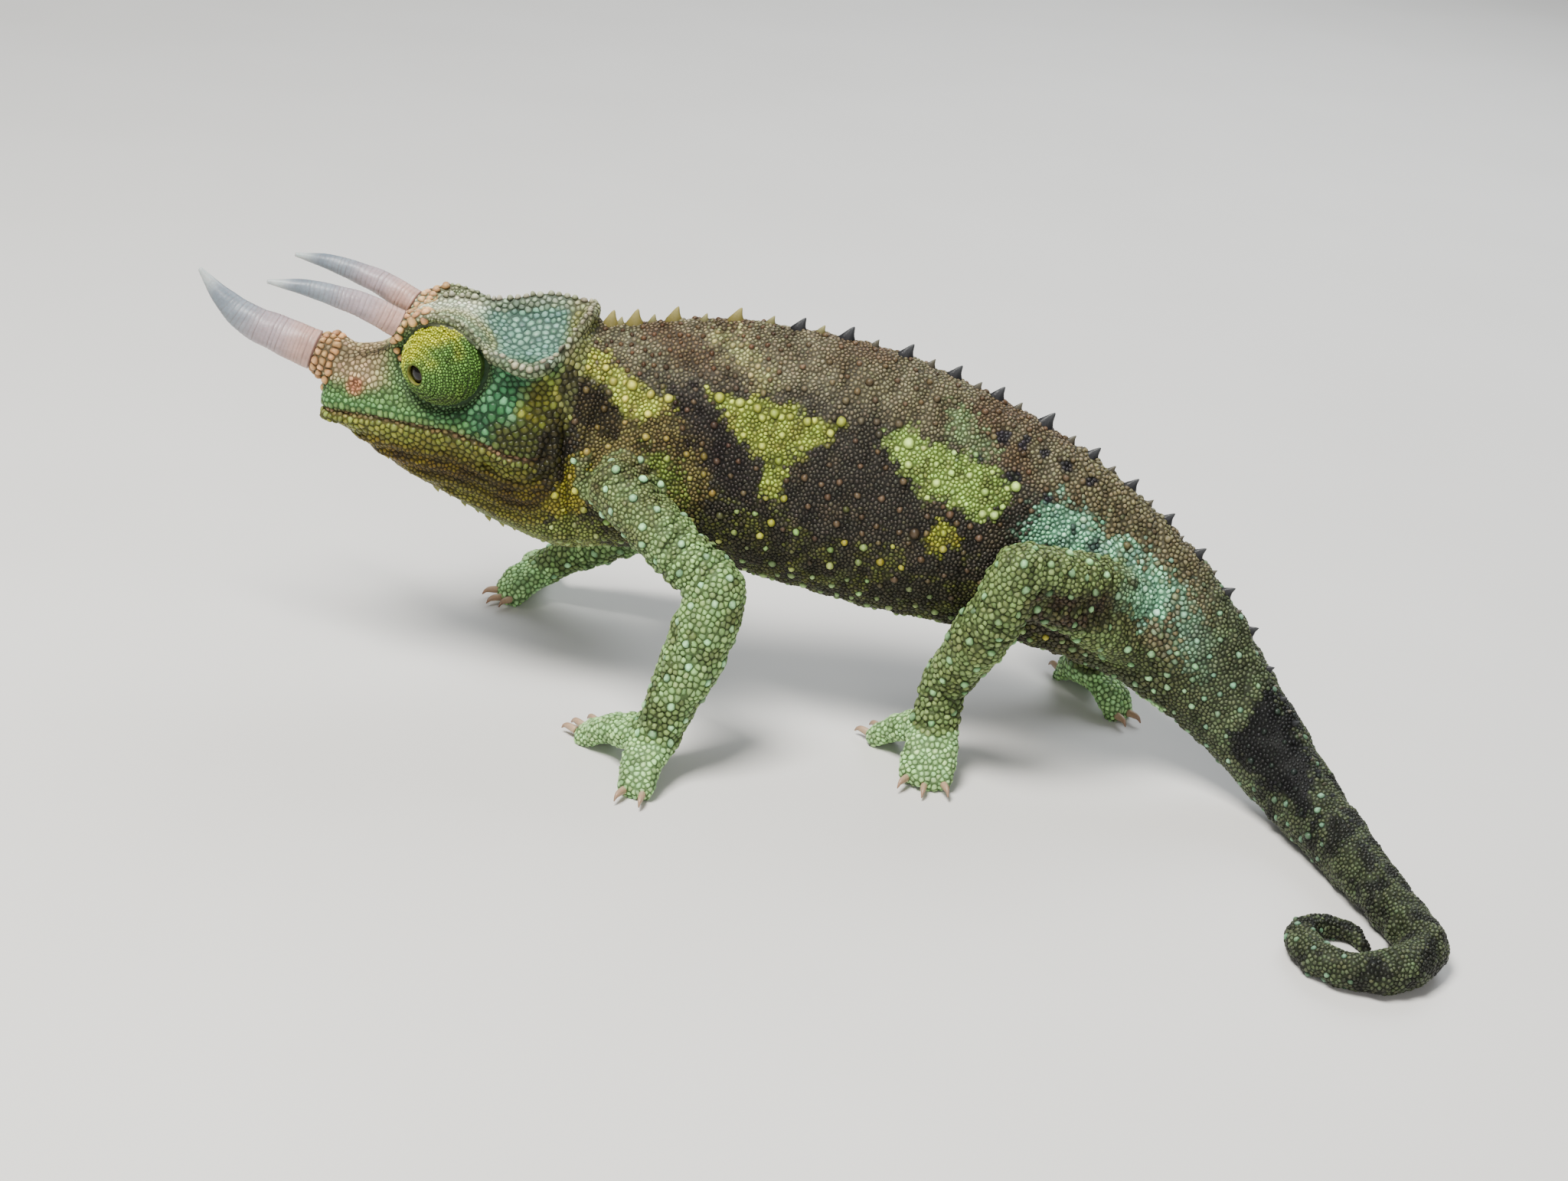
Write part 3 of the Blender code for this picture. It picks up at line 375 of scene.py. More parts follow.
def head_rings():
    for row in smooth_rows(HEAD, 6):
        x, throat, jaw, cheek_z, cheek, temple, crest_z, crest, roof = row
        temple_z = cheek_z + 0.62 * (crest_z - cheek_z)
        half = (
            (jaw, throat + 0.2 * (cheek_z - throat)),
            (0.5 * (jaw + cheek) + 0.4, throat + 0.6 * (cheek_z - throat)),
            (cheek, cheek_z),
            (temple, temple_z),
            (crest, crest_z),
            (0.5 * crest, crest_z + 0.4 * (roof - crest_z)),
        )
        ring = [(0.0, throat), *half, (0.0, roof), *((-y, z) for y, z in reversed(half))]
        yield [lean((x, y, z)) for y, z in ring]


def toe_paths(leg):
    """Each toe of a leg: from the palm, over a low arch, down to its own tip on the floor."""
    palm = Vector(leg["palm"][:3])
    for tip, count, spacing in leg["bundles"]:
        tip = Vector((*tip, TOE_TIP_HEIGHT))
        reach = (tip - palm).normalized()
        across = Vector((-reach.y, reach.x, 0)).normalized()
        for k in range(count):
            offset = across * spacing * (k - (count - 1) / 2)
            end = tip + offset - reach * (0.5 * abs(k - (count - 1) / 2))
            middle = palm.lerp(tip, 0.55) + offset * 0.8 + Vector((0, 0, 0.55))
            points = (palm + offset * 0.35, middle, palm.lerp(end, 0.85) - Vector((0, 0, 0.1)), end)
            yield [(*point, radius) for point, radius in zip(points, TOE_RADII)]


def both_sides(rows):
    """The rows of a tube of the head on the far side, and of its twin on the near side."""
    for sign in (1, -1):
        yield [(*lean(row, sign), row[3]) for row in rows]


def lip_line(offset, inset):
    """Points along a lip of the far side, that far above the mouth's line and inside its width."""
    for (x, z), width in zip(MOUTH_LINE[:-1], LIP_WIDTHS):
        yield max(x, SNOUT_X), width - inset, z + offset


def select_only(*pieces):
    bpy.ops.object.select_all(action="DESELECT")
    for piece in pieces:
        piece.select_set(True)
    bpy.context.view_layer.objects.active = pieces[0]


def apply_modifier(piece, kind, **settings):
    """Adds a modifier to the active piece with these settings, and applies it."""
    modifier = piece.modifiers.new(kind.lower(), kind)
    for setting, value in settings.items():
        setattr(modifier, setting, value)
    bpy.ops.object.modifier_apply(modifier=modifier.name)


KEEL = 0.3
KEEL_FADE = 1.7
SPINE_ROWS = spine_rows()
body_rows = smooth_rows(SPINE_ROWS, ROWS_PER_STATION)
keels = [KEEL * max(0.0, 1 - KEEL_FADE * i / (len(body_rows) - 1)) for i in range(len(body_rows))]
flesh = [loft("trunk", [section(row, keel) for row, keel in zip(body_rows, keels)]), loft("head", list(head_rings()))]
flesh += [tube("casque_rim", rows) for rows in both_sides(LATERAL_CREST)]
flesh.append(tube("casque_ridge", next(both_sides(PARIETAL_CREST))))
for offset in (0.75, -0.75):
    lip = [(x, max(y, 0.0), z, LIP_RADIUS) for x, y, z in lip_line(offset, 0.35)]
    flesh += [tube("lip", rows) for rows in both_sides(lip)]
flesh.append(ball("nose_boss", lean((-46.8, 0, 32.2)), (2.7, 2.6, 2.5)))
for sign in (1, -1):
    flesh.append(ball("brow_boss", lean((-38.7, 4.1, 37.0), sign), (2.1, 1.9, 1.9)))
for leg in LEGS.values():
    flesh += [tube(part, leg[part]) for part in ("upper", "flap", "web", "lower") if part in leg]
    *palm, palm_radius = leg["palm"]
    flesh.append(tube("palm", [leg["lower"][-1], leg["palm"], (*(Vector(palm) * 1.001), palm_radius)]))
    flesh.append(ball("sole", palm, (palm_radius, palm_radius, palm_radius * 0.9)))
    *bend, bend_radius = leg["lower"][0]
    flesh.append(ball("bend", bend, (bend_radius,) * 3))
    flesh += [tube("toe", path) for path in toe_paths(leg)]

select_only(*flesh)
bpy.ops.object.join()
skin = flesh[0]
skin.name = "skin"
apply_modifier(skin, "REMESH", mode="VOXEL", voxel_size=SKIN_VOXEL)
apply_modifier(skin, "SMOOTH", iterations=5)


def keep_outer_surface(piece):
    """Drops the small closed surfaces that a remesh leaves inside, and keeps the largest."""
    builder = bmesh.new()
    builder.from_mesh(piece.data)
    groups, seen = [], set()
    for start in builder.verts:
        if start.index in seen:
            continue
        seen.add(start.index)
        group, border = [start], [start]
        while border:
            for edge in border.pop().link_edges:
                for vert in edge.verts:
                    if vert.index not in seen:
                        seen.add(vert.index)
                        group.append(vert)
                        border.append(vert)
        groups.append(group)
    groups.sort(key=len)
    for group in groups[:-1]:
        bmesh.ops.delete(builder, geom=group, context="VERTS")
    builder.to_mesh(piece.data)
    builder.free()


keep_outer_surface(skin)


def read_rows(items, what, width, kind=np.float32):
    """One value of each item of a mesh, as rows of that many numbers."""
    values = np.empty(len(items) * width, kind)
    items.foreach_get(what, values)
    return values.reshape(-1, width)


def points_and_normals(mesh):
    return read_rows(mesh.vertices, "co", 3).astype(float), read_rows(mesh.vertex_normals, "vector", 3).astype(float)


def write_points(mesh, points):
    """Moves a mesh's vertices, none of them lower than the floor."""
    points[:, 2] = np.maximum(points[:, 2], FLOOR_GAP)
    mesh.vertices.foreach_set("co", points.astype(np.float32).ravel())
    mesh.update()


def nearness(distance, width):
    """1 at no distance, falling smoothly to nothing over about twice the width."""
    return np.exp(-((distance / width) ** 2))


def step_up(value, low, high):
    t = np.clip((value - low) / (high - low), 0, 1)
    return t * t * (3 - 2 * t)


def noise(points, size, seed):
    """Smooth noise from -1 to 1 at points, with features about this size."""
    grid = points / size + seed * 17.31
    cell = np.floor(grid).astype(np.int64)
    share = grid - cell
    share = share * share * (3 - 2 * share)
    total = np.zeros(len(points))
    for corner in range(8):
        offset = np.array([corner & 1, corner >> 1 & 1, corner >> 2 & 1])
        key = ((cell + offset) * np.array([73856093, 19349663, 83492791])).sum(1) + seed * 2654435
        key = (key ^ (key >> 13)) * 1274126177 & 0xFFFFFFFF
        key = (key ^ (key >> 16)) & 0xFFFF
        weight = np.prod(np.where(offset == 1, share, 1 - share), axis=1)
        total += weight * (key / 32767.5 - 1)
    return total


def patches(points, size, seed, low, high):
    """Soft patches of noise: 0 where it is below low, 1 where it is above high."""
    return step_up(noise(points, size, seed), low, high)


# Where a leg leaves the trunk and where it bends, the skin is drawn smooth over the joint.
joint_points, _ = points_and_normals(skin.data)
over_joint = np.zeros(len(joint_points))
for leg in LEGS.values():
    for row, reach in ((leg["upper"][0], 4.8), (leg["lower"][0], 3.6), (leg["palm"], 2.2)):
        over_joint = np.maximum(over_joint, nearness(np.linalg.norm(joint_points - np.array(row[:3]), axis=1), reach))
joint_group = skin.vertex_groups.new(name="joints")
for weight in range(1, 11):
    held = np.flatnonzero(np.round(over_joint * 10) == weight)
    joint_group.add(held.tolist(), weight / 10, "REPLACE")
apply_modifier(skin, "SMOOTH", iterations=40, vertex_group="joints")

# The skin's folds are pushed into it: the line of the mouth, the groove round each eye's turret, the hollow of the
# casque's sides, the pleats of the throat, the fold behind the jaw, the nostrils, and the cross wrinkles of rump,
# shoulder, neck and thigh.
EYE_RADIUS = 4.1
EYE_SOCKET = (-35.2, 5.1, 34.4)
NOSTRIL = (-44.0, 4.0, 30.7)
MOUTH_DEPTH = 0.5
THROAT_PITCH = 1.4
JAW_FOLDS = (
    ((-32.0, 28.0), (-30.5, 26.2), (-28.4, 25.0), (-26.2, 25.0), (-24.6, 26.6), (-24.2, 28.6)),
    ((-30.6, 25.0), (-28.4, 23.7), (-26.0, 23.6), (-24.0, 25.0)),
)


def mouth_height(x):
    keys = np.array(MOUTH_LINE)
    return np.interp(x, keys[:, 0], keys[:, 1])


def side_gap(x, z, line):
    """How far points are, in side view, from a line through pairs of x and z."""
    nearest = np.full(len(x), FAR)
    for (ax, az), (bx, bz) in zip(line, line[1:]):
        way_x, way_z = bx - ax, bz - az
        share = np.clip(((x - ax) * way_x + (z - az) * way_z) / (way_x**2 + way_z**2), 0, 1)
        nearest = np.minimum(nearest, np.hypot(x - ax - share * way_x, z - az - share * way_z))
    return nearest


def one_side(at):
    """Upright points, with the near side of the animal laid over the far side."""
    return np.stack((at[:, 0], np.abs(at[:, 1]), at[:, 2]), axis=1)


def gap_to(at, place):
    """How far upright points are from a place that the head has on both sides."""
    return np.linalg.norm(one_side(at) - np.array(place), axis=1)


def ripple(way, length):
    """Waves of a length along a way, from -1 in a furrow to 1 on a ridge."""
    return np.cos(2 * math.pi * way / length)


def throat_way(points, below):
    """The way down the throat that its pleats and rows follow."""
    return below + 0.35 * noise(points, 3.0, 47)


def thigh_ripple(points, x, z):
    return ripple(x - 0.3 * z + 0.3 * noise(points, 3.0, 49), 1.25)


def body_wrinkles(at):
    """Two fields of wrinkles of the body, broad ones and fine ones."""
    return noise(at / (0.8, 1.6, 2.0), 1.0, 44), noise(at / (0.9, 1.0, 0.7), 1.0, 46)


def skin_folds(points):
    """How far each point of the skin moves out along its normal."""
    at = upright(points)
    x, y, z = one_side(at).T
    move = np.full(len(points), -COAT_DEPTH)
    head = step_up(-x, 23.2, 24.6)
    below = mouth_height(x) - z
    move -= MOUTH_DEPTH * head * nearness(below, 0.2)
    eye = gap_to(at, EYE_SOCKET) - EYE_RADIUS
    move -= 0.5 * nearness(eye - 0.25, 0.35)
    move += 0.22 * nearness(eye - 1.0, 0.4)
    panel = step_up(x, -33.5, -30.5) * step_up(-x, 22.6, 24.5) * step_up(z, 36.2, 37.4) * step_up(-z, -39.9, -39.0)
    move -= 0.55 * panel
    for line in JAW_FOLDS:
        gap = side_gap(x, z, line)
        move -= 0.28 * nearness(gap, 0.4)
        move += 0.12 * nearness(gap - 0.8, 0.4)
    throat = head * step_up(below, 1.6, 2.6) * step_up(-below, -8.0, -5.5)
    move += 0.15 * throat * ripple(throat_way(points, below), THROAT_PITCH)
    move += 0.1 * head * step_up(below, 0.8, 2.0) * noise(at / (2.0, 2.0, 0.8), 1.0, 48)
    fold_x = -22.6 + 0.12 * (28 - z)
    move -= 0.6 * nearness(x - fold_x, 0.55) * step_up(z, 15.0, 17.5) * step_up(-z, -35.0, -31.0)
    nostril = gap_to(at, NOSTRIL)
    move -= 0.55 * nearness(nostril, 0.5)
    move += 0.2 * nearness(nostril - 0.75, 0.3)
    rump = step_up(x, 23.0, 28.0) * step_up(z, 14.0, 18.0)
    move += 0.16 * rump * ripple(x + 0.35 * z + 0.4 * noise(points, 4.0, 41), 1.3)
    shoulder = nearness(x + 12.0, 4.0) * nearness(z - 26.5, 5.0)
    move += 0.2 * shoulder * ripple(x + 0.3 * z + 0.5 * noise(points, 3.0, 42), 1.5)
    neck = nearness(x + 20.5, 2.0) * nearness(z - 28.0, 6.5)
    move += 0.16 * neck * ripple(x - 0.25 * z + 0.3 * noise(points, 3.0, 43), 1.6)
    body = step_up(x, -21.0, -18.0)
    for depth, wrinkles in zip((0.19, 0.1), body_wrinkles(at)):
        move += depth * body * wrinkles
    move += 0.2 * step_up(y, 9.0, 11.0) * noise(points, 1.2, 45)
    thigh = nearness(x - 28.0, 5.0) * nearness(z - 19.0, 4.5) * step_up(y, 6.5, 8.0)
    move += 0.2 * thigh * thigh_ripple(points, x, z)
    return move + 0.06 * noise(points, 3.0, 5)


skin_points, skin_normals = points_and_normals(skin.data)
skin_points += skin_normals * skin_folds(skin_points)[:, None]
write_points(skin.data, skin_points)
select_only(skin)
apply_modifier(skin, "SMOOTH", iterations=1)
skin_points, skin_normals = points_and_normals(skin.data)

# The skin is opened out into islands on its own shape. Every scale is later laid on this map at its own root.
MAP_NAME = "OFBake"
bpy.ops.object.mode_set(mode="EDIT")
bpy.ops.mesh.select_all(action="SELECT")
bpy.ops.uv.smart_project(angle_limit=math.radians(70), island_margin=0.001)
bpy.ops.object.mode_set(mode="OBJECT")
skin.data.uv_layers.active.name = MAP_NAME

# Where each point of the skin lies: on a leg or foot, the tail, the head or the trunk, how far along it is, for
# scales that stand in rows, and the size that its scales have.
TRUNK_PART, HEAD_PART, JAW_PART, TAIL_PART, LIMB_PART, FOOT_PART = range(6)
GRANULE = 0.19
TAIL_START = 39.0
TAIL_STATION = 10
LIMB_GAP = 0.45
LEG_LENGTH = 18.0
TOE_GAP = 0.8
FEET_TOP = 9.0
WRINKLE_DEPTH = 0.15


def along(rows, points):
    """The gap from points to a round tube through rows of x, y, z and radius, and how far along it they are."""
    rows = np.array(rows, float)
    best = np.full(len(points), FAR)
    travel = np.zeros(len(points))
    travelled = 0.0
    for start, end in zip(rows, rows[1:]):
        way = end[:3] - start[:3]
        length = np.linalg.norm(way)
        share = np.clip((points - start[:3]) @ way / length**2, 0, 1)
        distance = np.linalg.norm(points - start[:3] - share[:, None] * way, axis=1)
        gap = distance - start[3] - share * (end[3] - start[3])
        nearer = gap < best
        best = np.where(nearer, gap, best)
        travel = np.where(nearer, travelled + share * length, travel)
        travelled += length
    return best, travel


def limb_tubes(leg):
    """The tubes of a leg above its foot, each with where it starts on the way down the leg."""
    for name, start in (("upper", 0.0), ("flap", 0.2), ("web", 0.3), ("lower", 1.0)):
        if name in leg:
            yield start, smooth_rows([*leg[name], leg["palm"]] if name == "lower" else leg[name], 4)


def parts_of_body(points):
    """For each point: its part, its distance along the part, its share down a leg and its grain."""
    at = upright(points)
    x, y, z = at.T
    keys = np.array(TRUNK)
    middle_y, middle_z, tall, wide = (np.interp(x, keys[:, 0], keys[:, k]) for k in (1, 2, 3, 4))
    out_of_trunk = np.hypot((z - middle_z) / tall, (y - middle_y) / wide)
    part = np.full(len(points), TRUNK_PART)
    part[x > TAIL_START] = TAIL_PART
    _, tail_travel = along([row[:4] for row in body_rows[TAIL_STATION * ROWS_PER_STATION:]], points)
    rows_at = np.where(x > TAIL_START, tail_travel, x + 0.35 * z)
    part[x < -22.9 + 0.155 * (z - 27.5)] = HEAD_PART
    down_leg = np.zeros(len(points))
    nearest = np.full(len(points), FAR)
    for leg in LEGS.values():
        for start, rows in limb_tubes(leg):
            gap, travel = along(rows, points)
            own = (gap < nearest) & (gap < LIMB_GAP) & (out_of_trunk > 1.02)
            part[own] = LIMB_PART
            rows_at[own] = travel[own]
            down_leg[own] = start + travel[own] / LEG_LENGTH
            nearest = np.minimum(nearest, gap)
        for path in toe_paths(leg):
            gap, travel = along(smooth_rows(path, 4), points)
            own = (gap < nearest) & (gap < TOE_GAP) & (points[:, 2] < leg["palm"][2] + TOE_GAP)
            part[own] = FOOT_PART
            rows_at[own] = travel[own]
            nearest = np.minimum(nearest, gap)
    part[(x < TAIL_START) & (points[:, 2] < FEET_TOP) & (part != LIMB_PART)] = FOOT_PART
    below = mouth_height(x) - z
    part[(part == HEAD_PART) & (below > 0)] = JAW_PART
    rows_at[part == JAW_PART] = below[part == JAW_PART]

    eye = gap_to(at, EYE_SOCKET)
    cheek = 0.24 + 0.2 * nearness(np.hypot(x + 30.4, z - 31.0), 3.2) * step_up(eye, 4.7, 5.6)
    cheek += 0.06 * step_up(x, -29.0, -26.0)
    crown = np.where(x > -33.0, 0.25 + 0.14 * nearness(np.hypot(x + 28.0, z - 37.6), 2.2), 0.2)
    cheek = np.where(z > 36.2, crown, cheek)
    cheek = cheek - 0.07 * nearness(eye - EYE_RADIUS - 0.7, 0.6) - 0.07 * nearness(gap_to(at, NOSTRIL), 1.2)
    grain_of = {
        TRUNK_PART: GRANULE + 0.05 * step_up(x, 22.0, 30.0) + 0.04 * step_up(-z, -18, -15),
        HEAD_PART: cheek,
        JAW_PART: 0.3 - 0.1 * step_up(below, 1.2, 4.0),
        TAIL_PART: 0.2,
        LIMB_PART: 0.215 + 0.085 * step_up(down_leg, 0.3, 1.2),
        FOOT_PART: 0.25,
    }
    grain = np.select([part == key for key in grain_of], list(grain_of.values()))
    return part, rows_at, down_leg, grain


def leg_wrinkles(points, rows_at):
    """The cross wrinkles of the legs, from -1 in a furrow to 1 on a ridge."""
    return patches(points, 3.5, 81, -0.4, 0.3) * ripple(rows_at + 0.5 * noise(points, 2.5, 80), 1.2)


skin_part, skin_rows, skin_down, skin_grain = parts_of_body(skin_points)
on_leg = skin_part == LIMB_PART
skin_points += skin_normals * (WRINKLE_DEPTH * on_leg * leg_wrinkles(skin_points, skin_rows))[:, None]
write_points(skin.data, skin_points)
_, skin_normals = points_and_normals(skin.data)

# The markings. Colours are given as a screen shows them. Each mark on the animal's side is given by its softness, the
# colour of its small scales, the colour of its large ones, and the x and z of the corners of its outline.


def paint(red, green, blue):
    values = np.array((red, green, blue)) / 255
    return np.where(values < 0.04045, values / 12.92, ((values + 0.055) / 1.055) ** 2.4)


SIDE_MARKS = (
    (0.8, (90, 82, 44), (132, 118, 56), (
        (-22, 24), (-22, 33), (-13, 34), (-9, 31), (-8, 25), (-11, 20), (-16, 19),
    )),
    (0.5, (36, 31, 28), (64, 48, 38), (
        (-13, 35.2), (-11.1, 34.7), (-8.5, 32.6), (-6.4, 30.4), (-5, 27.6), (-3.9, 24.7), (-5.8, 24.8),
        (-8.3, 27.1), (-10.4, 29.8), (-12.6, 32), (-13.7, 33.9),
    )),
    (1.2, (98, 116, 46), (128, 150, 66), (
        (-15.2, 28.5), (-12, 28), (-10.3, 25.2), (-10.7, 23.5), (-12.9, 24), (-15, 26),
    )),
    (0.6, (160, 172, 66), (184, 186, 76), (
        (-21.7, 37.2), (-19, 35.6), (-16.2, 34.9), (-12.8, 34), (-13, 32.7), (-15.2, 31.4), (-17.4, 31.6),
        (-19.5, 33.8), (-21.5, 34.9),
    )),
    (0.9, (140, 140, 92), (146, 140, 92), (
        (-10.4, 40.3), (-7.4, 40.4), (-4.5, 38.2), (-2.3, 36.1), (-4.1, 35.2), (-6.8, 36.6), (-9, 38.3),
    )),
    (0.45, (138, 154, 56), (176, 190, 72), (
        (-9.2, 34.9), (-6.6, 34.8), (-3.2, 34.4), (0.6, 34), (4.2, 33.6), (2.7, 32.1), (0.3, 30.5),
        (-1.6, 29.1), (-1.7, 26.5), (-2.3, 24.5), (-3.2, 25.2), (-3.4, 28.4), (-5.3, 30.5), (-7.4, 32.4),
    )),
    (0.5, (136, 166, 76), (172, 204, 104), (
        (7, 33.1), (9.9, 33.7), (13.1, 32.6), (15.7, 32), (18.9, 30.4), (21.1, 29.3), (20.5, 28), (19.5, 26),
        (17.2, 26.2), (14.4, 27.3), (12.2, 27.3), (10.5, 28.9), (8.8, 30.7),
    )),
    (0.4, (132, 140, 40), (168, 176, 52), (
        (13.6, 25.2), (15, 25), (16.2, 24.1), (15.5, 22.3), (14.2, 21.5), (13.1, 22.8),
    )),
    (0.8, (112, 134, 88), (136, 170, 112), (
        (13.3, 35.8), (15.4, 35.6), (17.3, 33.8), (18.7, 32.2), (15.8, 32), (14, 33.2),
    )),
    (1.2, (126, 190, 152), (178, 240, 204), (
        (22.2, 24.6), (23.6, 27.6), (25.6, 28.6), (28.3, 27.3), (31.8, 24.7), (35.6, 22.8), (38.4, 20.9),
        (36.8, 17.6), (33, 18.6), (29.4, 20.4), (26.9, 22.2), (24.9, 23.4),
    )),
    (1.4, (96, 132, 104), (136, 190, 156), (
        (38.1, 21.2), (40.6, 19.8), (43.4, 16.8), (46.4, 13.6), (43.5, 11.6), (40.6, 13.4), (38.3, 16.4),
    )),
)
NECK_MARKS = (
    (0.5, (32, 26, 14), (58, 44, 26), (
        (-24.6, 35.8), (-22.2, 35.2), (-19.1, 33.8), (-17.2, 31.6), (-18.2, 29.4), (-21.0, 30.0), (-22.4, 31.2),
        (-23.6, 33.4),
    )),
    (0.6, (30, 24, 10), (46, 36, 18), (
        (-25.2, 31.2), (-23.0, 31.0), (-22.2, 28.6), (-22.4, 26.0), (-21.9, 23.8), (-24.2, 22.8), (-25.6, 24.6),
        (-25.2, 27.6),
    )),
    (0.6, (126, 118, 30), (160, 154, 48), (
        (-22.0, 27.4), (-20.6, 27.6), (-19.8, 24.6), (-20.6, 21.0), (-23.0, 19.6), (-24.6, 21.6), (-23.4, 24.0),
    )),
    (1.2, (104, 114, 54), (138, 156, 88), (
        (-25.6, 19.4), (-21.4, 20.6), (-18.6, 20.4), (-17.4, 17.2), (-20.0, 15.0), (-27.0, 15.4), (-29.0, 17.6),
    )),
)
# Small dark spots of the flank: x, z and radius
INK_SPOTS = (
    (19.1, 33.4, 0.6), (21.6, 33.0, 0.65), (23.4, 32.1, 0.6), (25.7, 31.2, 0.7), (28.7, 30.4, 0.6),
    (17.1, 31.8, 0.6), (20.8, 30.0, 0.6), (24.0, 28.4, 0.5), (27.4, 25.6, 0.5), (29.6, 24.2, 0.6),
    (31.6, 22.6, 0.7), (33.6, 21.6, 0.5),
)
TAIL_MARK = (
    (47.8, 13.4), (50.4, 12.2), (53.0, 8.6), (53.0, 4.6), (49.6, 5.2), (46.6, 5.6), (44.8, 7.4), (46.8, 10.0),
)


def inside_mark(x, z, corners):
    """How far points are inside a mark's outline, or with a minus sign outside it."""
    corners = np.array(corners, float)
    nearest = side_gap(x, z, np.concatenate([corners, corners[:1]]))
    inside = np.zeros(len(x), bool)
    for (ax, az), (bx, bz) in zip(corners, np.roll(corners, -1, axis=0)):
        way_x, way_z = bx - ax, bz - az
        crossed = (az > z) != (bz > z)
        inside ^= crossed & (x < ax + (z - az) * way_x / (way_z if way_z else 1e-9))
    return np.where(inside, nearest, -nearest)


def mixed(colours, other, weight):
    return colours + (np.asarray(other) - colours) * np.asarray(weight)[:, None]


def plain(count, colour):
    return np.tile(paint(*colour), (count, 1))


def layered(colours, *layers):
    """Colours under further ones, each given with how much of it shows."""
    for colour, weight in layers:
        colours = mixed(colours, paint(*colour), weight)
    return colours


def scaled(rows, factors):
    return rows * factors[:, None]


def markings(points, part, rows_at, down_leg, large):
    """The animal's colour at points of its skin, for small scales or, where large is 1, for large ones."""
    at = upright(points)
    x, y, z = at.T
    count = len(points)
    warp_x = x + 0.5 * noise(points, 2.2, 1) + 0.4 * noise(points, 0.9, 75)
    warp_z = z + 0.5 * noise(points, 2.2, 3) + 0.4 * noise(points, 0.9, 76)
    fine, grain, broad = noise(points, 0.7, 2), noise(points, 0.27, 4), noise(points, 5.0, 6)
    keys = np.array(TRUNK)
    middle_z, tall = (np.interp(x, keys[:, 0], keys[:, k]) for k in (2, 3))
    height = (warp_z - middle_z) / tall

    # The trunk: brown-black, with a paler back, green and yellow large scales low down, and olive behind the hip.
    # Low on the flank and the rump it is darkened with painted shade.
    low = step_up(-height + 0.1 * broad, 0.3, 0.7)
    cluster = step_up(noise(points, 1.7, 70) + 0.35 * fine, 0.0, 0.3) * step_up(-height + 0.25 * fine, 0.18, 0.34)
    belly = step_up(-height + 0.12 * broad + 0.14 * fine, 0.6, 0.86)
    ground = layered(
        plain(count, (98, 92, 68)),
        ((84, 70, 50), patches(points, 3.6, 62, 0.0, 0.6)),
        ((118, 114, 88), patches(points, 2.8, 63, 0.1, 0.7) * 0.6),
        ((74, 54, 36), large * (0.7 + 0.3 * step_up(-x, 0.0, 6.0))),
    )
    colours = layered(
        plain(count, (48, 45, 38)),
        ((64, 58, 44), patches(points, 1.6, 61, 0.0, 0.7) * 0.7),
        ((82, 66, 48), large * 0.8),
        ((74, 70, 58), 0.8 * step_up(height + 0.1 * fine, 0.3, 0.6)),
    )
    colours = layered(
        mixed(colours, ground, step_up(height + 0.08 * broad + 0.06 * fine, 0.48, 0.72)),
        ((44, 42, 26), 0.8 * low),
        ((84, 90, 32), cluster * 0.6 * step_up(grain, -0.5, 0.4)),
        ((128, 162, 88), large * cluster),
        ((150, 146, 48), large * cluster * patches(points, 1.3, 64, 0.0, 0.2)),
        ((84, 92, 48), belly * step_up(noise(points, 0.9, 78) + 0.3 * grain, 0.0, 0.5) * 0.6),
        ((142, 172, 110), belly * large * 0.8),
        ((96, 90, 64), step_up(x, 25.0, 30.0) * (1 - 0.7 * low)),
        ((60, 66, 40), step_up(x, 27.0, 32.0) * step_up(-height, 0.05, 0.4)),
        ((120, 160, 112), large * step_up(x, 27.0, 32.0) * step_up(-height, -0.1, 0.3)),
    )
    speckle = patches(points, 0.6, 77, 0.35, 0.6)
    patchy = step_up(noise(points, 1.0, 80) + 0.5 * grain, -0.1, 0.6) * (1 - 0.7 * large)
    for soft, small_colour, large_colour, corners in SIDE_MARKS:
        depth = inside_mark(warp_x, warp_z, corners) + 0.4 * fine + soft * 1.5 * grain
        inside = step_up(depth, -0.5 * soft, 0.5 * soft) * (1 - 0.6 * speckle * step_up(-depth, -1.8, -0.4))
        tone = layered(plain(count, small_colour) * 1.12, (large_colour, large))
        tone = mixed(tone, tone * (0.62, 0.54, 0.6), patchy)
        colours = mixed(colours, tone, np.clip(inside * (0.88 + 0.14 * fine), 0, 1))
    for spot_x, spot_z, size in INK_SPOTS:
        inside = 1 - step_up(np.hypot(warp_x - spot_x, warp_z - spot_z) / size - 0.5 * fine, 0.7, 1.2)
        colours = layered(colours, ((30, 29, 38), inside * 0.9))

    # The tail: green with dark bands, and a black mark under its root.
    tail = part == TAIL_PART
    band = np.sin(2 * math.pi * (rows_at / 8.5 + 0.3 * noise(points, 3.0, 7)))
    shade = step_up(0.6 * band + 1.5 * noise(points, 1.2, 8) + 0.7 * grain, -0.2, 0.7) * step_up(x, 44.0, 50.0)
    ink = inside_mark(warp_x, points[:, 2], TAIL_MARK) + 0.7 * fine + 0.6 * grain + 0.5 * noise(points, 1.5, 74)
    coat = layered(
        plain(count, (68, 76, 52)),
        ((28, 29, 24), shade * 0.9),
        ((112, 156, 122), large * 0.8 * (1 - 0.6 * shade)),
        ((92, 108, 74), patches(points, 1.1, 65, 0.3, 0.7) * 0.5 * (1 - shade)),
    )
    # Beyond the tail's root the coat is darkened: partly its own darker colour, partly painted shadow towards the
    # end.
    coat = layered(scaled(coat, 1 - 0.25 * step_up(x, 46.0, 51.0)), ((16, 16, 18), step_up(ink, -0.4, 0.4) * 0.95))
    colours = np.where(tail[:, None], mixed(colours, coat, step_up(x + 0.8 * fine, TAIL_START, 43.5)), colours)
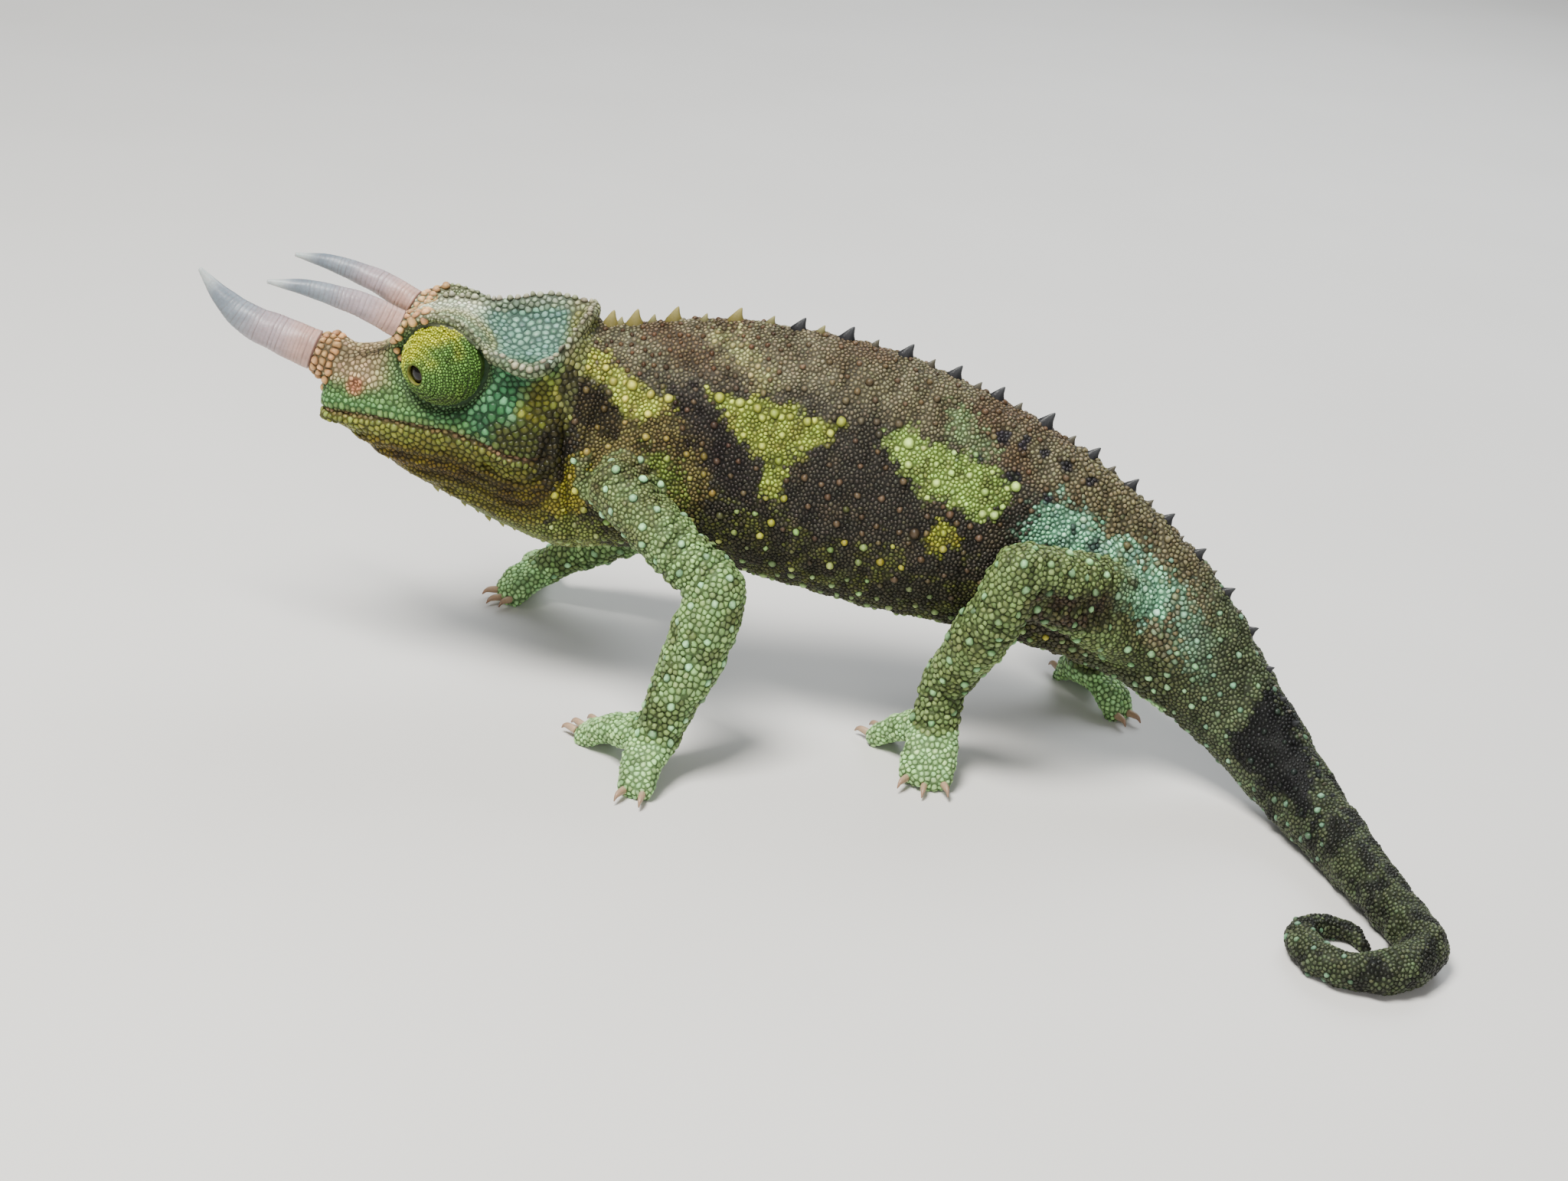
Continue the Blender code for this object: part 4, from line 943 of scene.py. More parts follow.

    # The legs and feet: green, browner in the upper leg, with painted shade in their furrows, dents and wrinkles, and
    # in the hollow under the thigh. The thigh takes the trunk's colours.
    limb, foot = part == LIMB_PART, part == FOOT_PART
    hind = (x > 10.0) & limb
    upper = step_up(-down_leg, -0.8, -0.1) * limb
    # The band is painted shade in the hollow under the thigh, and the furrow mask paints shade in the thigh's folds.
    band = step_up(x, 22.2, 24.0) * step_up(-x, -34.0, -31.0) * step_up(z, 16.4, 17.8) * step_up(-z, -22.4, -20.8)
    furrow = step_up(-thigh_ripple(points, x, z), 0.2, 0.9) * hind * step_up(-down_leg, -1.0, -0.8)
    ankle = patches(points, 0.9, 12, 0.35, 0.5) * nearness(z - 7.5, 2.4) * (x > 0)
    coat = layered(
        plain(count, (120, 152, 92)),
        ((92, 104, 58), patches(points, 1.8, 66, -0.1, 0.6) * 0.7),
        ((90, 88, 54), upper * (0.75 + 0.25 * fine)),
        ((134, 168, 102), patches(points, 2.2, 10, 0.1, 0.6) * 0.6 * (1 - 0.5 * upper)),
        ((148, 200, 146), large * 0.85),
        ((72, 62, 44), patches(points, 1.5, 67, 0.45, 0.75) * 0.6 * (down_leg < 1.0)),
        ((98, 112, 62), hind * 0.7),
        ((128, 176, 120), hind * large * 0.8),
        ((58, 60, 36), furrow * 0.5),
        ((52, 42, 28), band * (1 - 0.6 * large) * hind * np.clip(0.85 + 0.4 * fine, 0, 1)),
        ((40, 42, 36), ankle * limb),
        # Painted shade in the dents of the legs' skin, where the same noise pushes it in.
        ((70, 76, 44), step_up(-noise(points, 1.2, 45), 0.15, 0.6) * limb * 0.5),
        ((152, 196, 128), foot * 0.85),
        ((84, 108, 60), foot * patches(points, 0.8, 79, 0.1, 0.6) * 0.5),
    )
    coat = mixed(coat, colours, 0.8 * (step_up(x, 31.0, 35.5) * hind))
    # The legs are darkened with painted shade in the furrows of their wrinkles, and lightened a little elsewhere.
    coat = scaled(coat, 1.08 - 0.42 * step_up(-leg_wrinkles(points, rows_at), 0.1, 0.8) * limb)
    colours = np.where((limb | foot)[:, None], coat, colours)

    # The head: green, olive at the rear cheek, grey-green on the casque, rosy round the nostril, and dark with
    # painted shade in the nostril's opening.
    head, jaw = part == HEAD_PART, part == JAW_PART
    eye, nostril = gap_to(at, EYE_SOCKET) - EYE_RADIUS, gap_to(at, NOSTRIL)
    rear = step_up(warp_x - 0.3 * (z - 30.0) + 0.6 * fine, -28.6, -26.4) * step_up(-z, -36.0, -33.0)
    rim_gap, _ = along(smooth_rows(LATERAL_CREST, 4), one_side(at))
    ridge_gap, _ = along(PARIETAL_CREST, one_side(at))
    coat = layered(
        plain(count, (46, 92, 56)),
        ((90, 148, 104), patches(points, 0.8, 68, 0.05, 0.5) * 0.6),
        ((32, 62, 42), patches(points, 1.3, 69, 0.2, 0.6) * 0.6),
        ((86, 120, 66), step_up(-x, 34.0, 38.0)),
        ((82, 84, 20), rear),
        ((156, 166, 58), rear * patches(points, 1.3, 71, 0.0, 0.5) * 0.75),
        ((50, 54, 18), step_up(-z - 0.2 * fine, -30.6, -28.6) * step_up(x, -31.0, -29.0)),
        ((92, 142, 82), step_up(-z, -30.0, -28.5) * step_up(-x, 31.0, 33.0) * 0.8),
        ((176, 156, 118), step_up(-x, 39.5, 43.0) * step_up(z + 0.4 * fine, 30.0, 31.8)),
        ((206, 216, 184), step_up(z, 36.8, 38.0) * step_up(-x, 29.5, 32.5)),
        ((118, 134, 104), step_up(z, 36.8, 38.0) * patches(points, 1.5, 72, 0.1, 0.6) * 0.6),
        ((94, 130, 114), step_up(x, -33.5, -31.0) * step_up(z + 0.2 * fine, 35.6, 36.4)),
        ((108, 112, 64), step_up(x, -24.6, -23.2) * step_up(z, 29.0, 32.0)),
        ((150, 148, 92), nearness(eye - 1.0, 0.5) * step_up(z, 34.0, 37.0) * 0.7),
        ((96, 122, 82), nearness(eye - 0.4, 0.45) * 0.8),
        ((140, 142, 112), 0.5 * (1 - step_up(np.minimum(rim_gap, ridge_gap) + 0.1 * fine, 0.0, 0.3))),
        ((196, 122, 92), nearness(nostril - 0.5, 0.5) * 0.8),
        ((90, 40, 30), nearness(nostril, 0.35)),
    )
    colours = np.where(head[:, None], coat, colours)

    # The lower jaw and throat: yellow-green over brown, with painted shade in the furrows of the throat's pleats,
    # between the rows of scales, and under the rear of the jaw.
    below = mouth_height(x) - z
    wave = throat_way(points, below)
    # The lines are painted shade in the furrows of the throat's pleats.
    lines = step_up(np.cos(2 * math.pi * wave / THROAT_PITCH + math.pi) + 0.6 * noise(points, 1.2, 14), 0.3, 1.1)
    coat = layered(
        plain(count, (96, 98, 32)),
        ((74, 54, 4), step_up(wave + 0.5 * fine, 1.5, 3.0) * (0.75 + 0.25 * noise(points, 2.0, 13))),
        ((34, 24, 8), 0.6 * lines * step_up(below, 1.9, 2.9) * step_up(-below, -7.0, -4.6)),
        ((104, 92, 8), patches(points, 1.7, 73, 0.15, 0.55) * step_up(below, 1.5, 3.0) * 0.7),
    )
    # Under the rear of the jaw the coat is darkened with painted shade.
    coat = layered(
        scaled(coat, 1 - 0.32 * step_up(below + 0.3 * fine, 1.7, 3.0) * step_up(x, -39.0, -33.0)),
        ((96, 94, 30), step_up(below, 4.6, 6.3) * (0.7 + 0.3 * noise(points, 1.6, 15))),
        ((96, 110, 58), step_up(below, 6.8, 9.0)),
        ((80, 80, 24), step_up(x, -33.0, -29.0) * step_up(-below, -2.0, -0.8)),
        ((112, 116, 44), step_up(-x, 36.0, 40.0) * step_up(-below, -2.2, -1.0)),
    )
    colours = np.where(jaw[:, None], coat, colours)
    lip = nearness(below, 0.3) * step_up(-x, 23.4, 25.0) * (head | jaw)
    colours = layered(colours, ((118, 92, 66), np.clip(0.9 * lip, 0, 1)))
    for soft, small_colour, large_colour, corners in NECK_MARKS:
        depth = inside_mark(warp_x, warp_z, corners) + 0.3 * fine + soft * 0.9 * grain
        inside = step_up(depth, -0.5 * soft, 0.5 * soft) * ~(limb | foot)
        tone = layered(plain(count, small_colour), (large_colour, large))
        colours = mixed(colours, tone, inside * (0.84 + 0.16 * fine))
    # The trunk and tail are darkened with painted shade in the furrows of their wrinkles, and lightened a little
    # elsewhere.
    body = (part == TRUNK_PART) | tail
    colours = scaled(colours, 1 + body * (0.12 - 0.4 * step_up(-sum(body_wrinkles(at)), 0.0, 0.7)))
    return np.clip(colours, 0.002, 1)


# The skin between the scales carries the same markings, darkened with painted shade, so that the gaps between them
# read as furrows. One kind of material serves skin and scales: it shows the markings, mottled, and adds a fine grain.
SKIN_PAINTED_SHADE = 0.3


def store_colours(mesh, colours):
    layer = mesh.color_attributes.new("Markings", "FLOAT_COLOR", "POINT")
    rows = np.ones((len(mesh.vertices), 4), np.float32)
    rows[:, :3] = colours
    layer.data.foreach_set("color", rows.ravel())


def scaly_material(name, roughness, bump_size, bump_depth, shine):
    """Markings from the mesh, mottled, with a grain that is finer than the scales."""
    material, tree, shader = new_material(name)
    set_sockets(shader, {"Specular IOR Level": shine})
    place = add_node(tree, "TexCoord")
    marks = add_node(tree, "Attribute")
    marks.attribute_name = "Markings"
    mottle = add_node(tree, "TexNoise", {"Scale": 4200.0, "Detail": 3.0})
    mottle_range = add_node(tree, "MapRange", {"To Min": 0.78, "To Max": 1.2})
    tinted = add_node(tree, "Mix")
    tinted.data_type = "RGBA"
    tinted.blend_type = "MULTIPLY"
    set_sockets(tinted, {"Factor": 1.0})
    gloss = add_node(tree, "MapRange", {"To Min": roughness - 0.08, "To Max": roughness + 0.1})
    grain = add_node(tree, "TexVoronoi", {"Scale": 1.0 / (bump_size * METRES_PER_MM)})
    bump = add_node(tree, "Bump", {"Strength": 0.6, "Distance": bump_depth * METRES_PER_MM})
    bump.invert = True
    wire(
        tree,
        (place, "Object", mottle, "Vector"),
        (mottle, "Fac", mottle_range, "Value"),
        (marks, "Color", tinted, "A"),
        (mottle_range, "Result", tinted, "B"),
        (tinted, "Result", shader, "Base Color"),
        (mottle, "Fac", gloss, "Value"),
        (gloss, "Result", shader, "Roughness"),
        (place, "Object", grain, "Vector"),
        (grain, "Distance", bump, "Height"),
        (bump, "Normal", shader, "Normal"),
    )
    return material


def finish_piece(piece, material):
    """Moves the finished mesh to the frame of the solids, gives it its material and sets it on the body."""
    piece.data.transform(Matrix.Scale(METRES_PER_MM, 4) @ Matrix.Translation(-FOOTPRINT_CENTRE))
    piece.data.update()
    piece.data.materials.clear()
    piece.data.materials.append(material)
    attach(piece, "root")


no_large = np.zeros(len(skin_points))
store_colours(skin.data, SKIN_PAINTED_SHADE * markings(skin_points, skin_part, skin_rows, skin_down, no_large))

# The scales. Points are strewn over the skin and thinned until none is nearer another than its size allows: first
# the scales that line the lips and crests, then the large round ones, then the small ones, which stand in rows on
# the tail, legs and throat. Each is then grown to the border that it shares with its neighbours.
STREWN = 420000
TURRET_CLEARANCE = 0.25
SOLE_CLEARANCE = 0.12
strew = np.random.default_rng(7)
skin.data.calc_loop_triangles()
triangles = skin.data.loop_triangles
corner_verts, corner_loops = (read_rows(triangles, what, 3, np.int32) for what in ("vertices", "loops"))
map_points = read_rows(skin.data.uv_layers[MAP_NAME].data, "uv", 2)
a, b, c = (skin_points[corner_verts[:, k]] for k in range(3))
areas = np.linalg.norm(np.cross(b - a, c - a), axis=1)
chosen = strew.choice(len(triangles), STREWN, p=areas / areas.sum())
first, second = strew.random(STREWN), strew.random(STREWN)
over = first + second > 1
first[over], second[over] = 1 - first[over], 1 - second[over]
weights = np.stack((1 - first - second, first, second), axis=1)
picked = corner_verts[chosen]


def over_triangle(values, corners):
    return (values[corners] * weights.reshape(STREWN, 3, *([1] * (values.ndim - 1)))).sum(1)


def circle(sides):
    return np.arange(sides) * (2 * math.pi / sides)


def unit(rows):
    return rows / np.linalg.norm(rows, axis=1)[:, None]


def point_tree(points):
    tree = KDTree(len(points))
    for i, point in enumerate(points):
        tree.insert(point, i)
    tree.balance()
    return tree


spot = over_triangle(skin_points, picked)
spot_normal = unit(over_triangle(skin_normals, picked))
spot_map = over_triangle(map_points, corner_loops[chosen])
leading = picked[np.arange(STREWN), weights.argmax(1)]
spot_part, spot_rows, spot_down = skin_part[leading], skin_rows[leading], skin_down[leading]
spot_grain = over_triangle(skin_grain, picked)
spot_at = upright(spot)
free = (gap_to(spot_at, EYE_SOCKET) - EYE_RADIUS > TURRET_CLEARANCE) & (spot[:, 2] > SOLE_CLEARANCE)
tree = point_tree(spot)

# First the scales in lines: the collars round the horns' feet, the rims of the casque and the lips, and with them
# the side's largest round ones. Each line is a set of points near the skin, with the radius and height of its scales.
BROW_HORN = ((-39.9, 4.2, 37.5), (-43.2, 4.7, 38.9), (-46.4, 5.2, 39.8), (-49.3, 5.6, 40.3), (-52.4, 6.0, 40.5))
BROW_RADII = (1.45, 1.3, 1.05, 0.75, 0.2)
ROSTRAL_HORN = ((-48.7, 0.0, 32.7), (-52.0, 0.0, 33.7), (-55.3, 0.0, 34.9), (-57.8, 0.0, 36.6), (-60.4, 0.0, 39.4))
ROSTRAL_RADII = (2.1, 1.95, 1.65, 1.15, 0.22)
NO_TINT, COLLAR_TINT, RIM_TINT, LIP_TINT = range(4)
# The largest round scales of the flank and neck: x, y, z and radius
SIDE_KNOBS = (
    (-8.4, 5.3, 34.5, 0.58), (-6.4, 5.6, 34.3, 0.5), (-4.6, 5.8, 33.9, 0.44), (-2.9, 6.0, 33.6, 0.5),
    (-1.4, 6.0, 33.5, 0.4), (0.3, 6.1, 33.3, 0.5), (3.6, 6.0, 33.6, 0.56), (7.2, 6.1, 32.8, 0.42),
    (10.2, 6.0, 32.3, 0.6), (21.1, 5.7, 29.3, 0.56), (19.4, 6.8, 26.3, 0.5), (11.9, 7.6, 23.7, 0.6),
    (15.0, 7.3, 26.1, 0.46), (-18.9, 4.5, 34.5, 0.5), (-17.0, 4.5, 34.2, 0.58), (-15.1, 5.0, 33.8, 0.46),
    (-13.2, 5.3, 33.6, 0.5), (-19.7, 4.1, 35.6, 0.42),
)
seeds = []


def plant(i, radius, height, large, clear, tint=NO_TINT):
    """Takes spot i for a scale, and closes the spots round it."""
    seeds.append((i, radius, height, large, tint))
    for _, j, _ in tree.find_range(spot[i], clear):
        free[j] = False


def plant_line(rows, step, radius, height, tint, lift=0.0):
    """Scales at even steps along a line through rows of x, y and z, each at the nearest free spot."""
    rows = [np.array(row[:3]) for row in rows]
    travelled, due = 0.0, 0.5 * step
    for start, end in zip(rows, rows[1:]):
        travelled += np.linalg.norm(end - start)
        if travelled < due:
            continue
        due += step * strew.uniform(0.92, 1.08)
        _, i, _ = tree.find(Vector(end) + Vector((0, 0, lift)))
        if free[i]:
            size = radius * strew.uniform(0.76, 1.22)
            plant(i, size, height * strew.uniform(0.75, 1.3), 1.0, size * 0.8 + 0.2, tint)


def ring_round(base, onward, radius, back, count):
    """Points of a ring round a horn's foot, that far behind it."""
    way = (onward - base).normalized()
    side = way.cross(Z_AXIS).normalized()
    over = side.cross(way)
    for k in range(count * 4 + 1):
        turn = 2 * math.pi * k / (count * 4)
        yield base - way * back + (side * math.cos(turn) + over * math.sin(turn)) * radius


def collars(horn, sign, rings, step, size):
    """Rings of plates round a horn's foot, each with its radius, its place behind the foot and its count."""
    horn_base, horn_next = (lean(key, sign) for key in horn[:2])
    for radius, back, count in rings:
        plant_line(list(ring_round(horn_base, horn_next, radius, back, count)), step, size, 0.34, COLLAR_TINT)


for sign in (1, -1):
    collars(BROW_HORN, sign, ((1.75, 0.3, 13), (2.45, 1.0, 15), (3.0, 1.8, 17)), 0.84, 0.45)
collars(ROSTRAL_HORN, 1, ((2.35, 0.3, 17), (2.8, 1.1, 20), (3.1, 1.9, 20)), 0.88, 0.46)
for rows in both_sides(LATERAL_CREST):
    plant_line(smooth_rows(rows[:4], 12), 0.52, 0.25, 0.2, NO_TINT, lift=0.5)
    plant_line(smooth_rows(rows[3:7], 12), 0.78, 0.4, 0.26, RIM_TINT, lift=0.1)
    plant_line(smooth_rows(rows[6:], 12), 0.6, 0.32, 0.26, RIM_TINT, lift=0.5)
plant_line(smooth_rows(next(both_sides(PARIETAL_CREST)), 12), 0.8, 0.36, 0.42, RIM_TINT, lift=0.7)
for *knob, size in SIDE_KNOBS:
    for sign in (1, -1):
        _, i, _ = tree.find(lean(knob, sign))
        plant(i, size, 0.78 * size, 1.0, size + 0.14)
for offset, size in ((0.52, 0.36), (-0.5, 0.34)):
    for sign in (1, -1):
        line = smooth_rows([lean(point, sign) for point in lip_line(offset, -0.3)], 14)
        plant_line(line, 0.7, size, 0.14, LIP_TINT)

# Then the large round scales, strewn over the trunk, the tail's root and the top of the head. For each part: the gap
# between them, their least and greatest radius, and their height as a share of it.
LARGE_SIZES = {
    TRUNK_PART: (1.7, 0.27, 0.46, 0.8),
    TAIL_PART: (1.9, 0.26, 0.38, 0.7),
    HEAD_PART: (1.5, 0.26, 0.36, 0.5),
    LIMB_PART: (2.2, 0.36, 0.5, 0.6),
}
DOTTED_SIZES = (1.0, 0.2, 0.33)
DOTTED_END = -2.0
DOTTED_LEVEL = 33.5
LARGE_TAIL_END = 54
LARGE_HEAD_LEVEL = 37.6
order = strew.permutation(STREWN)
upright_x, upright_z = spot_at[:, 0], spot_at[:, 2]
dotted = (spot_part == TRUNK_PART) & (upright_x < DOTTED_END) & (upright_z > DOTTED_LEVEL)
may_be_large = (spot_part == TRUNK_PART) | (spot_part == LIMB_PART)
may_be_large |= (spot_part == TAIL_PART) & (upright_x < LARGE_TAIL_END)
may_be_large |= (spot_part == HEAD_PART) & (upright_z > LARGE_HEAD_LEVEL)
blocked = ~free | ~may_be_large
for i in order:
    if blocked[i] or not free[i]:
        continue
    spacing, low, high, rise = LARGE_SIZES[spot_part[i]]
    if dotted[i]:
        spacing, low, high = DOTTED_SIZES
    size = low + (high - low) * strew.random() ** 1.6
    plant(i, size, rise * size, 1.0, size + 0.6 * spot_grain[i])
    for _, j, _ in tree.find_range(spot[i], spacing * strew.uniform(0.7, 1.25)):
        blocked[j] = True

# Then the small scales, wherever a spot is still free. On the tail, legs, throat and rump the spots near the middle
# of a row are taken first, so that the scales there stand in rows.
ROW_PARTS = (TAIL_PART, LIMB_PART, FOOT_PART, JAW_PART)
BODY_PITCH = 2.05
LIMB_PITCH = 1.62
ROW_WIDTH = 0.17
SMALL_GAP = 1.62
HEIGHT_SHARES = np.array((0.6, 0.27, 0.34, 0.55, 0.42, 0.5))
row_pitch = np.where((spot_part == TRUNK_PART) | (spot_part == TAIL_PART), BODY_PITCH, LIMB_PITCH) * spot_grain
row_phase = np.abs(spot_rows / row_pitch - np.floor(spot_rows / row_pitch) - 0.5)
in_rows = np.isin(spot_part, ROW_PARTS) | ((spot_part == TRUNK_PART) & (upright_x > RUMP_START))
for allowed in (free & ~(in_rows & (row_phase > ROW_WIDTH)), free):
    for i in order:
        if allowed[i] and free[i]:
            size = spot_grain[i] * strew.uniform(0.88, 1.12)
            plant(i, size, size * HEIGHT_SHARES[spot_part[i]] * strew.uniform(0.8, 1.2), 0.0, SMALL_GAP * size)

seed_of, seed_radius, seed_height, seed_large, seed_tint = (np.array(values) for values in zip(*seeds))
root, root_part = spot[seed_of], spot_part[seed_of]

# Each scale's outline: in a ring of directions, how far it reaches before it meets the border with a neighbour,
# which lies nearer to the smaller of the two. Where there is none, its own radius holds it.
NEIGHBOURS = 12
OPEN_REACH = 9.0
LEAST_FACING = 0.02
LEAST_REACH = 0.4
MOST_REACH = 1.55


class Bed:
    """Scales that stand together: their roots, normals, map places, radii, heights, sizes and colours."""

    def __init__(self, root, normal, places, radius, height, large, colours):
        self.root, self.normal, self.places = root, normal, places
        self.radius, self.height, self.large, self.colours = radius, height, large, colours
        near_tree = point_tree(root)
        self.near = np.array([[j for _, j, _ in near_tree.find_n(point, NEIGHBOURS + 1)][1:] for point in root])
        self.across = unit(np.cross(normal, np.where(np.abs(normal[:, 2:]) < 0.9, (0.0, 0.0, 1.0), (1.0, 0.0, 0.0))))
        self.beyond = np.cross(normal, self.across)


def outlines(bed, chosen, sides):
    """The reach of these scales' borders in each of so many directions, and those directions."""
    turn = strew.random(len(chosen))[:, None] * 2 * math.pi + circle(sides)
    near, normal = bed.near[chosen], bed.normal[chosen][:, None]
    gap = bed.root[near] - bed.root[chosen][:, None]
    across, beyond = bed.across[chosen][:, None], bed.beyond[chosen][:, None]
    gap_u, gap_v, gap_n = ((gap * way).sum(2) for way in (across, beyond, normal))
    facing = (bed.normal[near] * normal).sum(2)
    own = bed.radius[chosen][:, None]
    weight = gap_u**2 + gap_v**2 + own**2 - bed.radius[near] ** 2
    toward = gap_u[:, :, None] * np.cos(turn)[:, None] + gap_v[:, :, None] * np.sin(turn)[:, None]
    reach = weight[:, :, None] / (2 * np.maximum(toward, LEAST_FACING))
    reach = np.where(toward > LEAST_FACING, reach, OPEN_REACH)
    apart = (np.abs(gap_n) > 1.5 * own) | (facing < 0.1)
    reach = np.where(apart[:, :, None], OPEN_REACH, reach)
    return np.clip(reach.min(1), LEAST_REACH * own, MOST_REACH * own), turn


def numpy_mesh(name, points, corners, sizes, places):
    """A mesh object from rows of points, the corners of its faces on end and how many each has, and its map."""
    mesh = bpy.data.meshes.new(name)
    mesh.vertices.add(len(points))
    mesh.vertices.foreach_set("co", points.astype(np.float32).ravel())
    mesh.loops.add(len(corners))
    mesh.loops.foreach_set("vertex_index", corners.astype(np.int32))
    mesh.polygons.add(len(sizes))
    mesh.polygons.foreach_set("loop_start", (np.cumsum(sizes) - sizes).astype(np.int32))
    mesh.polygons.foreach_set("use_smooth", np.ones(len(sizes), bool))
    mesh.update(calc_edges=True)
    mesh.uv_layers.new(name=MAP_NAME).data.foreach_set("uv", places[corners].astype(np.float32).ravel())
    return add_object(name, mesh)


# Each scale is a closed dome: a rim sunk in the skin, a shoulder, a crown on the large ones, and an apex. A ring of a
# dome has its share of the scale's reach, its share of the height, or None where it is sunk, and its painted light:
# painted shade that darkens it towards the sunk rim, and a painted highlight that lightens the apex.
GROOVE = 0.95
MAP_REACH = 0.0015
PLATE_RADIUS = 0.245
APEX_HIGHLIGHT = 1.3
GRAIN_DOME = ((1.0, None, 0.2), (0.74, 0.7, 0.88))
PLATE_DOME = ((1.0, None, 0.2), (0.9, 0.5, 0.66), (0.56, 0.95, 1.0))
LARGE_DOME = ((1.0, None, 0.2), (0.84, 0.4, 0.62), (0.46, 0.86, 0.98))
TINTS = (
    (COLLAR_TINT, (204, 154, 102), 0.85),
    (RIM_TINT, (156, 152, 126), 0.75),
    (LIP_TINT, (106, 122, 60), 0.4),
)
seed_colours = markings(root, root_part, spot_rows[seed_of], spot_down[seed_of], seed_large)
seed_colours = layered(seed_colours, *((colour, (seed_tint == tint) * amount) for tint, colour, amount in TINTS))
seed_colours *= strew.uniform(0.68, 1.38, len(root))[:, None] * strew.uniform(0.93, 1.07, (len(root), 3))
coat_bed = Bed(root, spot_normal[seed_of], spot_map[seed_of], seed_radius, seed_height, seed_large, seed_colours)


def on_circle(turn):
    return np.stack((np.cos(turn), np.sin(turn)), axis=-1)


def ring_quads(k, sides):
    """The faces between ring k and the next one, four corners each, on end."""
    m = np.arange(sides)
    onward = (m + 1) % sides
    return (np.stack((m, onward, sides + onward, sides + m), 1) + k * sides).ravel()


def scale_group(bed, chosen, sides, rings):
    """Points, corners, face sizes, colours and map places of these scales."""
    reach, turn = outlines(bed, chosen, sides)
    reach *= GROOVE
    count, stride, top = len(chosen), sides * len(rings) + 1, sides * (len(rings) - 1)
    points, colours, places = (np.empty((count, stride, width)) for width in (3, 3, 2))
    root, normal = bed.root[chosen], bed.normal[chosen]
    own_colour, own_place, height = bed.colours[chosen], bed.places[chosen], bed.height[chosen][:, None]
    across, beyond = bed.across[chosen][:, None], bed.beyond[chosen][:, None]
    way = across * np.cos(turn)[..., None] + beyond * np.sin(turn)[..., None]
    sunk = -0.05 - 0.15 * reach[..., None] ** 2
    for k, (share, rise, painted_light) in enumerate(rings):
        lift = sunk if rise is None else rise * height[:, None] + 0.3 * sunk * share
        held = slice(k * sides, (k + 1) * sides)
        points[:, held] = root[:, None] + way * (reach[..., None] * share) + normal[:, None] * lift
        colours[:, held] = own_colour[:, None] * painted_light
        places[:, held] = own_place[:, None] + on_circle(turn) * MAP_REACH * share
    points[:, -1] = root + normal * height
    colours[:, -1] = own_colour * APEX_HIGHLIGHT
    places[:, -1] = own_place

    m = np.arange(sides)
    fan = np.stack((top + m, top + (m + 1) % sides, np.full(sides, stride - 1)), 1)
    corners = np.concatenate([m[::-1], *(ring_quads(k, sides) for k in range(len(rings) - 1)), fan.ravel()])
    corners = (corners[None] + (np.arange(count) * stride)[:, None]).ravel()
    sizes = np.tile(np.repeat((sides, 4, 3), (1, top, sides)), count)
    return points.reshape(-1, 3), corners, sizes, colours.reshape(-1, 3), places.reshape(-1, 2)


def scale_piece(name, bed, chosen):
    """One mesh of these scales of a bed, with their markings and their places on the skin's map."""
    groups = []
    raised = bed.large[chosen] > 0.5
    grains = ~raised & (bed.radius[chosen] < PLATE_RADIUS)
    kinds = ((raised, 10, LARGE_DOME), (grains, 6, GRAIN_DOME), (~raised & ~grains, 8, PLATE_DOME))
    for held, sides, rings in kinds:
        if held.any():
            groups.append(scale_group(bed, chosen[held], sides, rings))
    starts = np.cumsum([0] + [len(group[0]) for group in groups])
    corners = np.concatenate([group[1] + start for group, start in zip(groups, starts)])
    points, sizes, colours, places = (np.concatenate([group[k] for group in groups]) for k in (0, 2, 3, 4))
    points[:, 2] = np.maximum(points[:, 2], 0.0)
    piece = numpy_mesh(name, points, corners, sizes, places)
    store_colours(piece.data, colours)
    return piece


scale_material = scaly_material("scales", 0.36, 0.12, 0.02, 0.2)
root_x = root[:, 0]
on_trunk, on_tail = root_part == TRUNK_PART, root_part == TAIL_PART
on_limb = (root_part == LIMB_PART) | (root_part == FOOT_PART)
SCALE_PIECES = (
    ("scales_head", root_part == HEAD_PART, "head_skin"),
    ("scales_jaw", root_part == JAW_PART, "jaw_skin"),
    ("scales_neck", on_trunk & (root_x < -10.0), "neck_skin"),
    ("scales_trunk_front", on_trunk & (root_x >= -10.0) & (root_x < 5.0), "torso_skin"),
    ("scales_trunk_back", on_trunk & (root_x >= 5.0) & (root_x < RUMP_START), "torso_skin"),
    ("scales_rump", on_trunk & (root_x >= RUMP_START), "torso_skin"),
    ("scales_tail", on_tail, "tail_skin"),
    ("scales_fore_legs", on_limb & (root_x < 3.0), "leg_skin"),
    ("scales_hind_legs", on_limb & (root_x >= 3.0), "leg_skin"),
)
for name, held, slot in SCALE_PIECES:
    finish_piece(scale_piece(name, coat_bed, np.flatnonzero(held)), scale_material)
skin_material = scaly_material("skin", 0.55, 0.16, 0.05, 0.15)
SKIN_NODES = ["head", "lower_jaw", "neck", "torso", "tail_base", "tail_middle", "tail_end", "tail_tip"]
SKIN_NODES += [f"{leg}_{part}" for leg in LEGS for part in ("upper", "lower", "foot")]
skin.data.polygons.foreach_set("use_smooth", np.ones(len(skin.data.polygons), bool))
finish_piece(skin, skin_material)
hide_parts(*SKIN_NODES)

